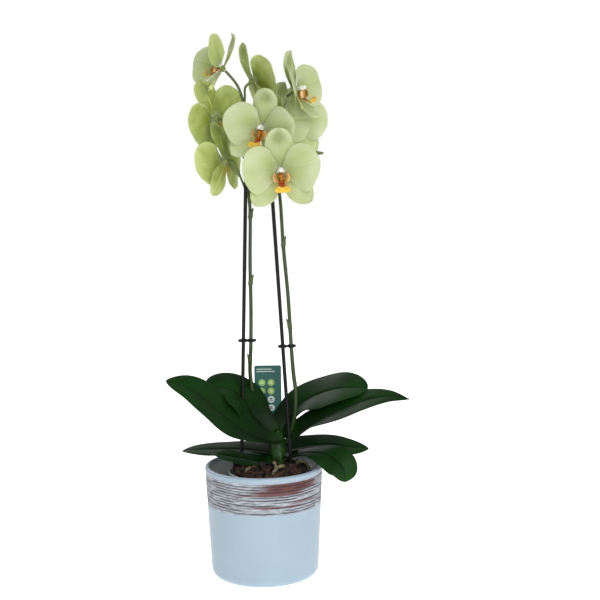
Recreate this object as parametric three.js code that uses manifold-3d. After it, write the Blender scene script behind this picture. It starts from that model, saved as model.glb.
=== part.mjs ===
// A moth orchid in a glazed ceramic cover pot: two flower spikes tied to thin stakes, nine yellow-green
// blooms, eight leaves round a short crown, and bark in a clear inner pot. Millimetres, +Z up, origin at the
// middle of the cover pot's foot, the blooms' side towards -Y.
import * as THREE from 'three';
import { mergeVertices } from 'three/addons/utils/BufferGeometryUtils.js';
import Module from 'manifold-3d';

const wasm = await Module();
wasm.setup();

// ---- driving dimensions ----
const GAP = 0.35;                       // air left between touching pieces
const COVER_POT = {
  topRadius: 68.2, footRadius: 61.8, height: 129, wall: 5, floor: 7, floorRound: 6, footRound: 9,
  rimRound: 2.2, segments: 32, grooves: [117, 100], grooveDepth: 0.6, grooveHalf: 1.2,
};
const INNER_POT = {
  centreX: 8.5, centreY: 2, topRadius: 50.5, footRadius: 39, height: 114.5, wall: 1.1, lip: 2, lipHeight: 4,
  segments: 24,
};
// edge and crown: the heap's height at the inner pot's wall and at its middle.
const BARK = {
  edge: 119, crown: 126, bottom: 10, relief: 1.4, chips: 7, chipReach: 39, chipLength: 14, chipWidth: 9,
  chipThickness: 4.5, segments: 14,
};
const CROWN = { x: 17, y: 15, bottom: 114, top: 167, wide: 11, deep: 8.5 };
const STAKE_RADIUS = 2.1;
const LABEL = {
  x: 5, y: 46.9, top: 237, width: 32, cardHeight: 56, taper: 32, stemWidth: 9, thickness: 0.9, bottom: 109,
  corner: 1.5,
};
const CLIP = { length: 21, bar: 3.4, ring: 4.1, height: 3.4 };
const WELD = 1e-4;                      // how near two corners lie that are one
const GOLDEN_ANGLE = 2.39996;           // spreads the chips evenly round the heap
const SPIKE = { footRadius: 2.5, tipRadius: 1.5, pedicelRadius: 1.3, sides: 6, steps: 24 };
const ROOT = { radius: 2.3, knobRadius: 8, knobBottom: 96 };
const LEAF_THICKNESS = 1.8;
// A petal is a fan from the hub, open half its opening angle in degrees to each side. A sepal is a blade: see
// leafOutline.
const PETAL = { length: 46, open: 59, rows: 3, columns: 6, thickness: 1 };
const DORSAL = { length: 47, half: 15.5, sheath: 0.42, widest: 0.62, tip: 0.95, rows: 4, columns: 4, thickness: 1 };
const LATERAL = { length: 48, half: 14.5, sheath: 0.4, widest: 0.58, tip: 1.25, rows: 4, columns: 4, thickness: 1 };
// The share of its length that a petal reaches, from its lower edge to its upper edge.
const PETAL_REACH = [0.5, 0.88, 0.945, 1, 0.955, 0.8, 0.5];

const v3 = (x, y, z) => new THREE.Vector3(x, y, z);
const radians = THREE.MathUtils.degToRad;
const smooth = THREE.MathUtils.smoothstep;

// A repeatable stream of numbers from 0 to 1.
function seededRandom(seed) {
  let state = seed;
  return () => {
    state = (state * 1664525 + 1013904223) % 4294967296;
    return state / 4294967296;
  };
}

// ---- solids: joins and cuts ----
function stripped(geometry) {
  for (const name of ['normal', 'uv']) geometry.deleteAttribute(name);
  return geometry;
}

function toSolid(geometry) {
  const merged = mergeVertices(stripped(geometry.clone()), WELD);
  const index = merged.index.array;
  const triangles = [];
  for (let i = 0; i < index.length; i += 3) {
    const [a, b, c] = [index[i], index[i + 1], index[i + 2]];
    if (a !== b && b !== c && c !== a) triangles.push(a, b, c);
  }
  const vertProperties = new Float32Array(merged.attributes.position.array);
  const triVerts = new Uint32Array(triangles);
  return new wasm.Manifold(new wasm.Mesh({ numProp: 3, vertProperties, triVerts }));
}

function toGeometry(solid) {
  const mesh = solid.getMesh();
  const geometry = new THREE.BufferGeometry();
  geometry.setAttribute('position', new THREE.BufferAttribute(mesh.vertProperties.slice(), 3));
  geometry.setIndex(new THREE.BufferAttribute(mesh.triVerts.slice(), 1));
  return geometry;
}

const join = (geometries) => geometries.map(toSolid).reduce((sum, next) => sum.add(next));
const cut = (solid, cutters) => cutters.reduce((rest, cutter) => rest.subtract(cutter), solid);

// The largest of the bodies that a cut leaves.
function largest(solid) {
  return solid.decompose().reduce((best, next) => (next.volume() > best.volume() ? next : best));
}

// ---- surfaces ----
function meshOf(positions, triangles) {
  const geometry = new THREE.BufferGeometry();
  const values = positions.flatMap((point) => point.toArray());
  geometry.setAttribute('position', new THREE.Float32BufferAttribute(values, 3));
  geometry.setIndex(triangles);
  return geometry;
}

// A closed blade of even thickness on the surface middle(u, v), u from 0 at its base to 1 at its tip and v
// from -1 to 1 across it. Both faces are split into triangles alike.
function blade({ rows, columns, thickness }, middle) {
  const small = 1e-3;
  const positions = [];
  for (const side of [0.5, -0.5]) {
    for (let i = 0; i <= rows; i += 1) {
      for (let j = 0; j <= columns; j += 1) {
        const u = i / rows;
        const v = (2 * j) / columns - 1;
        const along = middle(Math.min(1, u + small), v).sub(middle(Math.max(0, u - small), v));
        const across = middle(u, Math.min(1, v + small)).sub(middle(u, Math.max(-1, v - small)));
        const normal = along.cross(across).normalize();
        positions.push(middle(u, v).addScaledVector(normal, side * thickness));
      }
    }
  }
  const width = columns + 1;
  const back = (rows + 1) * width;
  const at = (i, j) => i * width + j;
  const triangles = [];
  for (let i = 0; i < rows; i += 1) {
    for (let j = 0; j < columns; j += 1) {
      const [a, b, c, d] = [at(i, j), at(i + 1, j), at(i + 1, j + 1), at(i, j + 1)];
      triangles.push(a, b, c, a, c, d, a + back, c + back, b + back, a + back, d + back, c + back);
    }
  }
  const rim = [];
  for (let i = 0; i < rows; i += 1) rim.push(at(i, 0));
  for (let j = 0; j < columns; j += 1) rim.push(at(rows, j));
  for (let i = rows; i > 0; i -= 1) rim.push(at(i, columns));
  for (let j = columns; j > 0; j -= 1) rim.push(at(0, j));
  rim.forEach((a, k) => {
    const b = rim[(k + 1) % rim.length];
    triangles.push(b, a, a + back, b, a + back, b + back);
  });
  return meshOf(positions, triangles);
}

// A closed round limb along a path, with its radius given from 0 at its start to 1 at its end.
function limb(path, radiusAt, sides, steps) {
  const frames = path.computeFrenetFrames(steps);
  const positions = [];
  const triangles = [];
  for (let i = 0; i <= steps; i += 1) {
    const centre = path.getPointAt(i / steps);
    for (let j = 0; j < sides; j += 1) {
      const angle = (2 * Math.PI * j) / sides;
      const out = frames.normals[i].clone().multiplyScalar(Math.cos(angle));
      out.addScaledVector(frames.binormals[i], Math.sin(angle));
      positions.push(centre.clone().addScaledVector(out, radiusAt(i / steps)));
    }
  }
  for (let i = 0; i < steps; i += 1) {
    for (let j = 0; j < sides; j += 1) {
      const k = (j + 1) % sides;
      const [a, b, c, d] = [i * sides + j, i * sides + k, (i + 1) * sides + k, (i + 1) * sides + j];
      triangles.push(a, b, c, a, c, d);
    }
  }
  for (let j = 1; j < sides - 1; j += 1) {
    triangles.push(0, j + 1, j);
    triangles.push(steps * sides, steps * sides + j, steps * sides + j + 1);
  }
  return meshOf(positions, triangles);
}

const through = (...points) => new THREE.CatmullRomCurve3(points.map((p) => v3(...p)), false, 'centripetal');

// A solid of revolution about +Z from [radius, height] pairs that run up its outside and close on the axis
// or on themselves.
function turned(profile, segments) {
  const points = profile.map(([radius, height]) => new THREE.Vector2(radius, height));
  return new THREE.LatheGeometry(points, segments).rotateX(Math.PI / 2);
}

// ---- the pots and what is in them ----
function coverPotWall(height) {
  const { topRadius, footRadius } = COVER_POT;
  return footRadius + (topRadius - footRadius) * (height / COVER_POT.height);
}

function coverPot() {
  const { height, wall, floor, floorRound, footRound, rimRound, segments } = COVER_POT;
  const { grooves, grooveDepth, grooveHalf } = COVER_POT;
  const profile = [[0, 0], [coverPotWall(0) - footRound, 0]];
  for (const turn of [30, 60, 90]) {
    const lift = footRound * (1 - Math.cos(radians(turn)));
    profile.push([coverPotWall(lift) - footRound * (1 - Math.sin(radians(turn))), lift]);
  }
  for (const middle of [...grooves].reverse()) {
    profile.push([coverPotWall(middle - grooveHalf), middle - grooveHalf]);
    profile.push([coverPotWall(middle) - grooveDepth, middle]);
    profile.push([coverPotWall(middle + grooveHalf), middle + grooveHalf]);
  }
  const rim = coverPotWall(height);
  profile.push([rim, height - rimRound], [rim - rimRound, height], [rim - wall + rimRound, height]);
  profile.push([rim - wall, height - rimRound], [coverPotWall(floor) - wall, floor + floorRound]);
  profile.push([coverPotWall(floor) - wall - floorRound, floor], [0, floor]);
  return turned(profile, segments);
}

function innerPotRadius(height) {
  const { topRadius, footRadius } = INNER_POT;
  return footRadius + (topRadius - footRadius) * (height / INNER_POT.height);
}

function innerPot() {
  const { height, wall, lip, lipHeight, segments, centreX, centreY, topRadius, footRadius } = INNER_POT;
  const neck = topRadius - lip;
  const under = height - lipHeight - 1;
  const profile = [
    [0, 0], [footRadius, 0], [neck, under], [topRadius, height - lipHeight], [topRadius, height],
    [neck - wall / 2, height], [neck - wall, under], [footRadius - wall, wall], [0, wall],
  ];
  return turned(profile, segments).translate(centreX, centreY, COVER_POT.floor + GAP);
}

// The heap of bark: highest round the crown and level with the inner pot's rim at its edge.
function barkHeight(x, y) {
  const reach = Math.hypot(x - INNER_POT.centreX, y - INNER_POT.centreY) / INNER_POT.topRadius;
  return BARK.crown - (BARK.crown - BARK.edge) * reach * reach;
}

function barkBody() {
  const { wall, lip, centreX, centreY, height } = INNER_POT;
  const random = seededRandom(11);
  const base = COVER_POT.floor + GAP;
  const inset = wall + 2 * GAP;
  const edgeRadius = innerPotRadius(height) - lip - inset - 0.8;
  const profile = [[0, BARK.bottom], [innerPotRadius(BARK.bottom - base) - inset, BARK.bottom]];
  profile.push([edgeRadius - 0.6, base + height - 8], [edgeRadius, BARK.edge]);
  for (const share of [0.78, 0.5, 0.2, 0]) profile.push([edgeRadius * share, BARK.edge + 1]);
  const body = mergeVertices(stripped(turned(profile, BARK.segments)), WELD).translate(centreX, centreY, 0);
  const position = body.attributes.position;
  for (let i = 0; i < position.count; i += 1) {
    if (position.getZ(i) > BARK.edge + 0.5) {
      const lift = (random() - 0.5) * 2 * BARK.relief;
      position.setZ(i, barkHeight(position.getX(i), position.getY(i)) + lift);
    }
  }
  return body;
}

function barkChips() {
  const { chipReach, chipLength, chipWidth, chipThickness } = BARK;
  const random = seededRandom(29);
  const chips = [];
  for (let i = 0; i < BARK.chips; i += 1) {
    const angle = i * GOLDEN_ANGLE;
    const reach = chipReach * Math.sqrt((i + 0.7) / BARK.chips);
    const x = INNER_POT.centreX + reach * Math.cos(angle);
    const y = INNER_POT.centreY + reach * Math.sin(angle);
    const [length, width] = [chipLength, chipWidth].map((size) => size * (0.8 + 0.5 * random()));
    const chip = new THREE.BoxGeometry(length, width, chipThickness);
    chip.rotateX((random() - 0.5) * 0.9).rotateY((random() - 0.5) * 0.7).rotateZ(random() * Math.PI);
    chips.push(chip.translate(x, y, barkHeight(x, y) + 0.4));
  }
  return chips;
}

// The crown is the short stem that the leaves sheathe: an upright flattened spindle.
function crown(grow) {
  const { x, y, bottom, top, wide, deep } = CROWN;
  const shares = [[0.72, bottom - grow], [0.86, 122], [1, 136], [0.9, 150], [0.68, 160], [0.35, 165]];
  const side = shares.map(([share, z]) => [share * wide + grow, z]);
  const body = turned([[0, bottom - grow], ...side, [0, top + grow]], 12);
  return body.scale(1, (deep + grow) / (wide + grow), 1).translate(x, y, 0);
}

// Each root leaves the knob under the crown, arches over the bark and dives back in.
const ROOTS = [
  [[21, 14, 106], [35, 8, 120], [43, 6, 128], [50, 4, 127], [54, 0, 116]],
  [[15, 11, 106], [13, 3, 120], [14, -4, 127.5], [15, -12, 126], [16, -17, 114]],
  [[13, 11, 106], [2, 2, 119], [-8, -10, 127], [-18, -17, 125.5], [-24, -20, 114]],
  [[12, 14, 106], [-4, 8, 119], [-14, 4, 126.5], [-22, 0, 125.5], [-28, -2, 114]],
  [[19, 11, 106], [24, -4, 119], [23, -16, 127], [14, -26, 125.5], [8, -30, 113]],
];

function roots(grow) {
  const { radius, knobRadius, knobBottom } = ROOT;
  const radiusAt = (s) => (radius + grow) * (1 - 0.25 * s);
  const arches = ROOTS.map((points) => limb(through(...points), radiusAt, 4, 6));
  const [low, high] = [knobBottom - grow, CROWN.bottom - GAP + grow];
  const knob = turned([[0, low], [knobRadius + grow, low], [knobRadius + grow, high], [0, high]], 10);
  return join([knob.translate(CROWN.x, CROWN.y, 0), ...arches]);
}

// ---- leaves ----
// A leaf's half width as a share of its widest: a sheath that opens to an oval blade, widest at a given
// place, with a tip that is blunt at 1 and drawn to a point at 2.
function leafOutline(s, { sheath, widest, tip }) {
  if (s < widest) return sheath + (1 - sheath) * smooth(s, 0.02, widest);
  const rest = (s - widest) / (1 - widest);
  return Math.max(0, 1 - rest ** 2.2) ** (0.5 * tip);
}

// midrib: the points of the midrib. half: half the widest width. face: the way the upper face looks. fold:
// how many degrees the two halves rise from the midrib, at the base and at the tip. faceEnd: the way it looks at
// the tip where that differs. sheath, widest and tip: see leafOutline.
const LEAVES = {
  leaf_1: {
    midrib: [[25, 7, 154], [10, 0, 155], [-8, -8, 163], [-36, -25, 185], [-64, -40, 213], [-84, -46, 229],
      [-106, -48, 237]],
    half: 31, face: [0.3, -0.46, 0.82], sheath: 0.36, widest: 0.5, fold: [36, 8], tip: 1.3,
  },
  leaf_2: {
    midrib: [[6, 18, 157], [-8, 19, 177], [-20, 15, 205], [-34, 9, 220], [-49, 3, 225], [-58, -3, 220]],
    half: 25, face: [0.25, -0.4, 0.85], sheath: 0.66, widest: 0.56, fold: [38, 8], tip: 1.1,
  },
  leaf_3: {
    midrib: [[20, 26, 155], [29, 34, 174], [46, 37, 193], [70, 31, 206], [92, 21, 213], [122, 8, 215]],
    half: 29, face: [-0.25, -0.45, 0.83], sheath: 0.58, widest: 0.56, fold: [38, 8], tip: 1.1,
  },
  leaf_4: {
    midrib: [[29, 17, 149], [50, 12, 167], [83, 0, 189], [116, -8, 203], [145, -12, 209], [168, -14, 206]],
    half: 24, face: [-0.25, -0.36, 0.88], sheath: 0.74, widest: 0.42, fold: [40, 8], tip: 1.8,
  },
  leaf_5: {
    midrib: [[10, 20, 137], [-18, 34, 140], [-46, 37, 140], [-72, 37, 139], [-98, 35, 137]],
    half: 19, face: [0, -0.08, 1], sheath: 0.46, widest: 0.56, fold: [34, 6], tip: 1.5,
  },
  leaf_6: {
    midrib: [[10, 7, 130], [-8, -3, 135], [-30, -13, 142], [-57, -20, 146]],
    half: 16, face: [0, -0.2, 1], sheath: 0.5, widest: 0.56, fold: [30, 6], tip: 1.5,
  },
  leaf_7: {
    midrib: [[23, 19, 142], [48, 35, 145], [72, 38, 144], [98, 37, 140], [124, 35, 137]],
    half: 20, face: [0, -0.5, 0.87], sheath: 0.46, widest: 0.56, fold: [34, 6], tip: 1.5,
  },
  leaf_8: {
    midrib: [[28, 14, 130], [42, 2, 136], [58, -12, 142], [74, -25, 143], [86, -34, 138], [92, -39, 129],
      [93, -41, 117]],
    half: 21, face: [-0.2, -0.35, 1], faceEnd: [0.35, -0.9, 0.25], sheath: 0.4, widest: 0.62, fold: [24, 6],
    tip: 1.3,
  },
};

function leaf(one, grow) {
  const { midrib, half, face, fold } = one;
  const path = through(...midrib);
  const [up, upEnd] = [face, one.faceEnd ?? face].map((way) => v3(...way).normalize());
  const middle = (u, v) => {
    const s = 1 - (1 - u) ** 1.5;
    const along = path.getTangentAt(s);
    const across = along.clone().cross(up.clone().lerp(upEnd, smooth(s, 0.1, 0.9))).normalize();
    const lift = across.clone().cross(along).normalize();
    const width = Math.max(1.2, (half + grow) * leafOutline(s, one));
    const rise = radians(fold[0] + (fold[1] - fold[0]) * smooth(s, 0, 0.6));
    const point = path.getPointAt(s).addScaledVector(across, -v * width * Math.cos(rise));
    return point.addScaledVector(lift, Math.abs(v) * width * Math.sin(rise) - 0.06 * width * v * v);
  };
  return blade({ rows: 9, columns: 4, thickness: LEAF_THICKNESS + 2 * grow }, middle);
}

// ---- blooms: face -Y, +Z up, the hub at the origin ----
// A tepal lies in its own plane: it grows along the direction turned by angle from +Z (clockwise as the
// bloom is seen), leans forward by lean, and starts at the depth set behind the face. shape(s, v) is how far
// it stands forward of that plane, s along it and v across it. A petal is a fan and a sepal is a blade with a
// leaf's outline.
function tepal(size, { angle, lean, twist = 0, set, shape, grow }) {
  const place = new THREE.Matrix4().makeRotationY(radians(angle));
  place.multiply(new THREE.Matrix4().makeRotationX(radians(lean)));
  place.multiply(new THREE.Matrix4().makeRotationZ(radians(twist)));
  const middle = (u, v) => {
    const s = 0.055 + 0.945 * u * (1.35 - 0.35 * u);
    let [x, z] = [v * Math.max(1, size.half * leafOutline(s, size)), s * size.length];
    if (size.open) {
      const row = Math.round((1 - v * Math.sign(angle)) * 3);
      const reach = z * PETAL_REACH[row];
      [x, z] = [reach * Math.sin(radians(size.open) * v), reach * Math.cos(radians(size.open) * v)];
    }
    return v3(x, -shape(s, v), z).applyMatrix4(place).add(v3(0, set, 0));
  };
  return blade({ ...size, thickness: size.thickness + 2 * grow }, middle);
}

function tepals(petals, grow) {
  const petalShape = (s, v) => -3.5 * v * v * s - 1.2 * Math.exp(-((v / 0.2) ** 2)) * s + 2 * s * (1 - s);
  const dorsalShape = (s, v) => 7 * s ** 3 - 2 * v * v * s;
  const lateralShape = (s, v) => 1.6 * Math.abs(v) * s + 2.5 * s * s;
  const { left = PETAL_POSE, right = PETAL_POSE, leftLateral = LATERAL_POSE } = petals;
  const pieces = [
    tepal(PETAL, { ...right, set: -1.6, shape: petalShape, grow }),
    tepal(PETAL, { ...left, angle: -left.angle, set: -1.6, shape: petalShape, grow }),
    tepal(DORSAL, { angle: 0, lean: 3, set: 1.6, shape: dorsalShape, grow }),
    tepal(LATERAL, { ...LATERAL_POSE, set: 1.6, shape: lateralShape, grow }),
    tepal(LATERAL, { ...leftLateral, angle: -leftLateral.angle, set: 1.6, shape: lateralShape, grow }),
  ];
  const hubRadius = (s) => 3 + grow + 1.8 * Math.sin(Math.PI * s);
  const hub = limb(through([0, 5, -0.5], [0, 1, 0], [0, -3.2, 0]), hubRadius, 6, 3);
  return [hub, ...pieces];
}

// The lip's middle lines, in the bloom's own frame: its tongue, its callus and its right-hand side lobe.
const LIP = {
  tongue: [[0, -4, -3.5], [0, -7, -9], [0, -11, -15], [0, -17, -19], [0, -21, -18], [0, -22, -15]],
  callus: [[0, -4.2, -4], [0, -8.5, -7], [0, -10.5, -12]],
  lobe: [[1.5, -8, -12], [6, -9.5, -12], [8.5, -11, -7.5], [7, -11.5, -2.5]],
  thickness: 1,
};

// The lip: a waisted tongue that widens and curls up at its tip, a raised callus, and two upright side lobes.
function lip() {
  const tonguePath = through(...LIP.tongue);
  const tongueHalf = (s) => 2.2 + 7 * Math.exp(-(((s - 0.66) / 0.2) ** 2));
  const tongue = blade({ rows: 5, columns: 2, thickness: LIP.thickness }, (u, v) => {
    return tonguePath.getPointAt(u).add(v3(-v * tongueHalf(u), 0, -1.2 * v * v));
  });
  const callus = limb(through(...LIP.callus), (s) => 2.6 - 0.8 * s, 4, 2);
  const lobes = [1, -1].map((side) => {
    const path = through(...LIP.lobe.map(([x, y, z]) => [side * x, y, z]));
    return blade({ rows: 2, columns: 1, thickness: LIP.thickness }, (u, v) => {
      const half = 2 + 1.8 * Math.sin(Math.PI * u);
      return path.getPointAt(u).add(v3(0, v * half * side, 0));
    });
  });
  return [tongue, callus, ...lobes];
}

// The column: the short stout stalk over the lip, thickest near its end.
function column() {
  const radiusAt = (s) => 2 + 0.9 * Math.sin(Math.PI * (0.15 + 0.8 * s));
  return limb(through([0, -3.7, 0.8], [0, -8, 1], [0, -12, -1]), radiusAt, 6, 3);
}

// How a bloom's petals and lateral sepals stand where nothing else is said: turned from the top, and leaning
// forward.
const PETAL_POSE = { angle: 81, lean: 17 };
const LATERAL_POSE = { angle: 138, lean: 5 };

// centre: the hub. turn: the way the bloom faces, 0 towards -Y and positive towards +X. nod: how far it looks
// up. lean: how far its top leans clockwise as it is seen from the front.
const BLOOMS = {
  right_bloom_1: { centre: [25, -46.5, 468], turn: 4, nod: 0, lean: -3, size: 1 },
  left_bloom_2: { centre: [5, -24, 515], turn: -14, nod: 0, lean: 9, size: 0.94 },
  left_bloom_5: { centre: [-40, 3, 583], turn: -76, nod: 27, lean: 0, size: 0.86,
    petals: { right: { angle: 36, lean: 45, twist: -12 }, left: { angle: 94, lean: 48 } } },
  left_bloom_3: { centre: [-49, 12, 528], turn: -135, nod: 0, lean: 24, size: 0.97,
    petals: { right: { angle: 84, lean: -5 }, left: { angle: 74, lean: -6 } } },
  left_bloom_1: { centre: [-39, 0, 480], turn: -116, nod: -6, lean: 8, size: 0.95,
    petals: { right: { angle: 84, lean: 17 }, left: { angle: 82, lean: 0 } } },
  left_bloom_4: { centre: [-6, 26, 570], turn: 112, nod: 23, lean: 0, size: 0.94,
    petals: { left: { angle: 76, lean: 8 }, leftLateral: { angle: 138, lean: -12 } } },
  right_bloom_4: { centre: [43, 0, 557], turn: 63, nod: 14, lean: -8, size: 0.95,
    petals: { left: { angle: 72, lean: 22 }, leftLateral: { angle: 120, lean: 22 } } },
  right_bloom_2: { centre: [24, 8, 524], turn: 56, nod: 0, lean: 7, size: 0.93,
    petals: { left: { angle: 92, lean: 45 }, leftLateral: { angle: 156, lean: 20 } } },
  right_bloom_3: { centre: [38, 54, 522], turn: 28, nod: 0, lean: 5, size: 0.93,
    petals: { leftLateral: { angle: 142, lean: -16 } } },
};

function bloomMatrix({ centre, turn, nod, lean, size }) {
  const matrix = new THREE.Matrix4().makeTranslation(...centre);
  matrix.multiply(new THREE.Matrix4().makeRotationZ(radians(turn)));
  matrix.multiply(new THREE.Matrix4().makeRotationX(radians(-nod)));
  matrix.multiply(new THREE.Matrix4().makeRotationY(radians(lean)));
  return matrix.multiply(new THREE.Matrix4().makeScale(size, size, size));
}

// ---- flower spikes ----
// stem: the points up to the last bloom, which the stem's end meets. bracts: the share of the stem at which
// each clasps it, and its side. blooms: where on the stem each bloom's pedicel joins.
const SPIKES = {
  left_spike: {
    stem: [
      [11, 23, 150], [4, 31, 163], [-6, 33, 180], [-12, 31, 205], [-15, 24, 232], [-13, 10, 268],
      [-12, 6, 308], [-12, 5.5, 364], [-11, 6, 418], [-12, 7, 446], [-14, 7, 492], [-15, 7, 525],
      [-17, 7, 547], [-23, 7, 564],
    ],
    bracts: [[0.24, -1], [0.45, 1], [0.62, 1]], last: 'left_bloom_5',
    blooms: { left_bloom_1: 0.66, left_bloom_2: 0.74, left_bloom_3: 0.81, left_bloom_4: 0.885 },
  },
  right_spike: {
    stem: [
      [26, 19, 150], [32, 20, 164], [37, 16, 183], [38, 10, 213], [36, 7, 233], [34, 2, 263],
      [31, 1, 324], [26.5, 1, 380], [23, 4, 440], [18, 17, 470], [13, 36, 502], [14, 48, 525],
      [23, 48, 546], [40, 30, 557],
    ],
    bracts: [[0.3, -1], [0.5, 1]], last: 'right_bloom_4',
    blooms: { right_bloom_1: 0.7, right_bloom_2: 0.735, right_bloom_3: 0.87 },
  },
};
// A bud that stayed small, on its own pedicel from the right spike.
const SMALL_BUD = {
  spike: 'right_spike', share: 0.78, path: [[40, 18, 482], [58, 14, 486], [67, 12, 487], [74, 11, 487]],
};

// The two points by which a pedicel comes up behind a bloom's hub.
function behind(bloom) {
  const matrix = bloomMatrix(bloom);
  return [v3(0, 12, -3).applyMatrix4(matrix), v3(0, 5.4 + GAP, -0.8).applyMatrix4(matrix)];
}

function pedicel(path, share, bloom) {
  const start = path.getPointAt(share);
  const [approach, end] = behind(bloom);
  const middle = start.clone().lerp(approach, 0.55).add(v3(0, 0, 2));
  return limb(new THREE.CatmullRomCurve3([start, middle, approach, end]), () => SPIKE.pedicelRadius, 5, 4);
}

// A bract clasps the stem just above a joint, pointing up along it.
function bract(path, share, side) {
  const base = path.getPointAt(share);
  const along = path.getTangentAt(share);
  const out = v3(side, -0.4, 0).normalize();
  const tip = base.clone().addScaledVector(along, 11).addScaledVector(out, 2.6);
  const waist = base.clone().addScaledVector(along, 4).addScaledVector(out, 1.6);
  return limb(new THREE.CatmullRomCurve3([base, waist, tip]), (s) => 2.6 - 2.1 * s, 5, 3);
}

function stemPath({ stem, last }) {
  const end = behind(BLOOMS[last]).map((point) => point.toArray());
  return through(...stem, ...end);
}

function spike(name) {
  const { bracts, blooms } = SPIKES[name];
  const path = stemPath(SPIKES[name]);
  const radiusAt = (s) => SPIKE.footRadius + (SPIKE.tipRadius - SPIKE.footRadius) * s;
  const pieces = [limb(path, radiusAt, SPIKE.sides, SPIKE.steps)];
  for (const [bloom, share] of Object.entries(blooms)) pieces.push(pedicel(path, share, BLOOMS[bloom]));
  for (const [share, side] of bracts) pieces.push(bract(path, share, side));
  if (name === SMALL_BUD.spike) {
    const points = [path.getPointAt(SMALL_BUD.share).toArray(), ...SMALL_BUD.path];
    pieces.push(limb(through(...points), (s) => (s > 0.99 ? 0.6 : 1.2 + 1.7 * smooth(s, 0.65, 0.85)), 6, 8));
  }
  return pieces;
}

// ---- supports ----
const STAKES = {
  left_stake: { foot: [-28.5, 20, 72], top: [-13.5, -4.5, 500] },
  right_stake: { foot: [36.5, 3.5, 40], top: [13, -4, 470] },
};

function stake({ foot, top }, radius) {
  return limb(new THREE.LineCurve3(v3(...foot), v3(...top)), () => radius, 8, 1);
}

// The care label: a card that tapers to a stem pushed into the bark.
function label(grow) {
  const { x, y, top, width, cardHeight, taper, stemWidth, thickness, corner } = LABEL;
  const half = width / 2 + grow;
  const stem = stemWidth / 2 + grow;
  const foot = top - cardHeight - taper;
  const outline = new THREE.Shape();
  outline.moveTo(-half, top - cardHeight);
  outline.lineTo(-half, top - corner);
  outline.lineTo(-half + corner, top + grow);
  outline.lineTo(half - corner, top + grow);
  outline.lineTo(half, top - corner);
  outline.lineTo(half, top - cardHeight);
  outline.lineTo(stem, foot);
  outline.lineTo(stem, LABEL.bottom);
  outline.lineTo(0, LABEL.bottom - 6 - grow);
  outline.lineTo(-stem, LABEL.bottom);
  outline.lineTo(-stem, foot);
  const depth = thickness + 2 * grow;
  const card = new THREE.ExtrudeGeometry(outline, { depth, bevelEnabled: false, steps: 1 });
  return card.translate(0, 0, -depth / 2).rotateX(Math.PI / 2).translate(x, y, 0);
}

// A butterfly clip is a short bar whose two rings hold a stake and a flower spike side by side.
const CLIPS = {
  left_clip_low: { side: 'left', height: 273 },
  left_clip_high: { side: 'left', height: 483 },
  right_clip_low: { side: 'right', height: 267 },
  right_clip_high: { side: 'right', height: 456 },
};

// The point of a path at a given height.
function atHeight(path, height) {
  let best = path.getPointAt(0);
  for (let i = 1; i <= 800; i += 1) {
    const point = path.getPointAt(i / 800);
    if (Math.abs(point.z - height) < Math.abs(best.z - height)) best = point;
  }
  return best;
}

function clip({ side, height }) {
  const { foot, top } = STAKES[`${side}_stake`];
  const stakePath = new THREE.LineCurve3(v3(...foot), v3(...top));
  const held = [stakePath, stemPath(SPIKES[`${side}_spike`])].map((path) => atHeight(path, height));
  const middle = held[0].clone().lerp(held[1], 0.5);
  const heading = Math.atan2(held[1].y - held[0].y, held[1].x - held[0].x);
  const bar = new THREE.BoxGeometry(CLIP.length, CLIP.bar, CLIP.height).rotateZ(heading);
  const pieces = [bar.translate(middle.x, middle.y, height)];
  for (const { x, y } of held) {
    const ring = new THREE.CylinderGeometry(CLIP.ring, CLIP.ring, CLIP.height, 6).rotateX(Math.PI / 2);
    pieces.push(ring.translate(x, y, height));
  }
  return join(pieces);
}

// ---- the model ----
const MATERIALS = {
  glaze: new THREE.MeshStandardMaterial({ color: '#c3d3e2', roughness: 0.2, metalness: 0 }),
  clearPlastic: new THREE.MeshStandardMaterial({ color: '#8c9488', roughness: 0.25, metalness: 0 }),
  bark: new THREE.MeshStandardMaterial({ color: '#3a2418', roughness: 0.95, metalness: 0 }),
  root: new THREE.MeshStandardMaterial({ color: '#a39a78', roughness: 0.8, metalness: 0 }),
  crownGreen: new THREE.MeshStandardMaterial({ color: '#2f5a1c', roughness: 0.5, metalness: 0 }),
  leafGreen: new THREE.MeshStandardMaterial({ color: '#1f3d1c', roughness: 0.35, metalness: 0 }),
  spikeGreen: new THREE.MeshStandardMaterial({ color: '#46552a', roughness: 0.5, metalness: 0 }),
  stakeBlack: new THREE.MeshStandardMaterial({ color: '#0b0f10', roughness: 0.4, metalness: 0 }),
  card: new THREE.MeshStandardMaterial({ color: '#04604f', roughness: 0.45, metalness: 0 }),
  tepal: new THREE.MeshStandardMaterial({ color: '#c2cf9c', roughness: 0.6, metalness: 0 }),
  lip: new THREE.MeshStandardMaterial({ color: '#d08a1c', roughness: 0.5, metalness: 0 }),
  column: new THREE.MeshStandardMaterial({ color: '#e8e6d4', roughness: 0.5, metalness: 0 }),
};

const plant = new THREE.Group();

function add(name, geometry, material) {
  const mesh = new THREE.Mesh(geometry, material);
  mesh.name = name;
  plant.add(mesh);
}

add('cover_pot', toGeometry(toSolid(coverPot())), MATERIALS.glaze);
add('inner_pot', toGeometry(toSolid(innerPot())), MATERIALS.clearPlastic);

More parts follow.
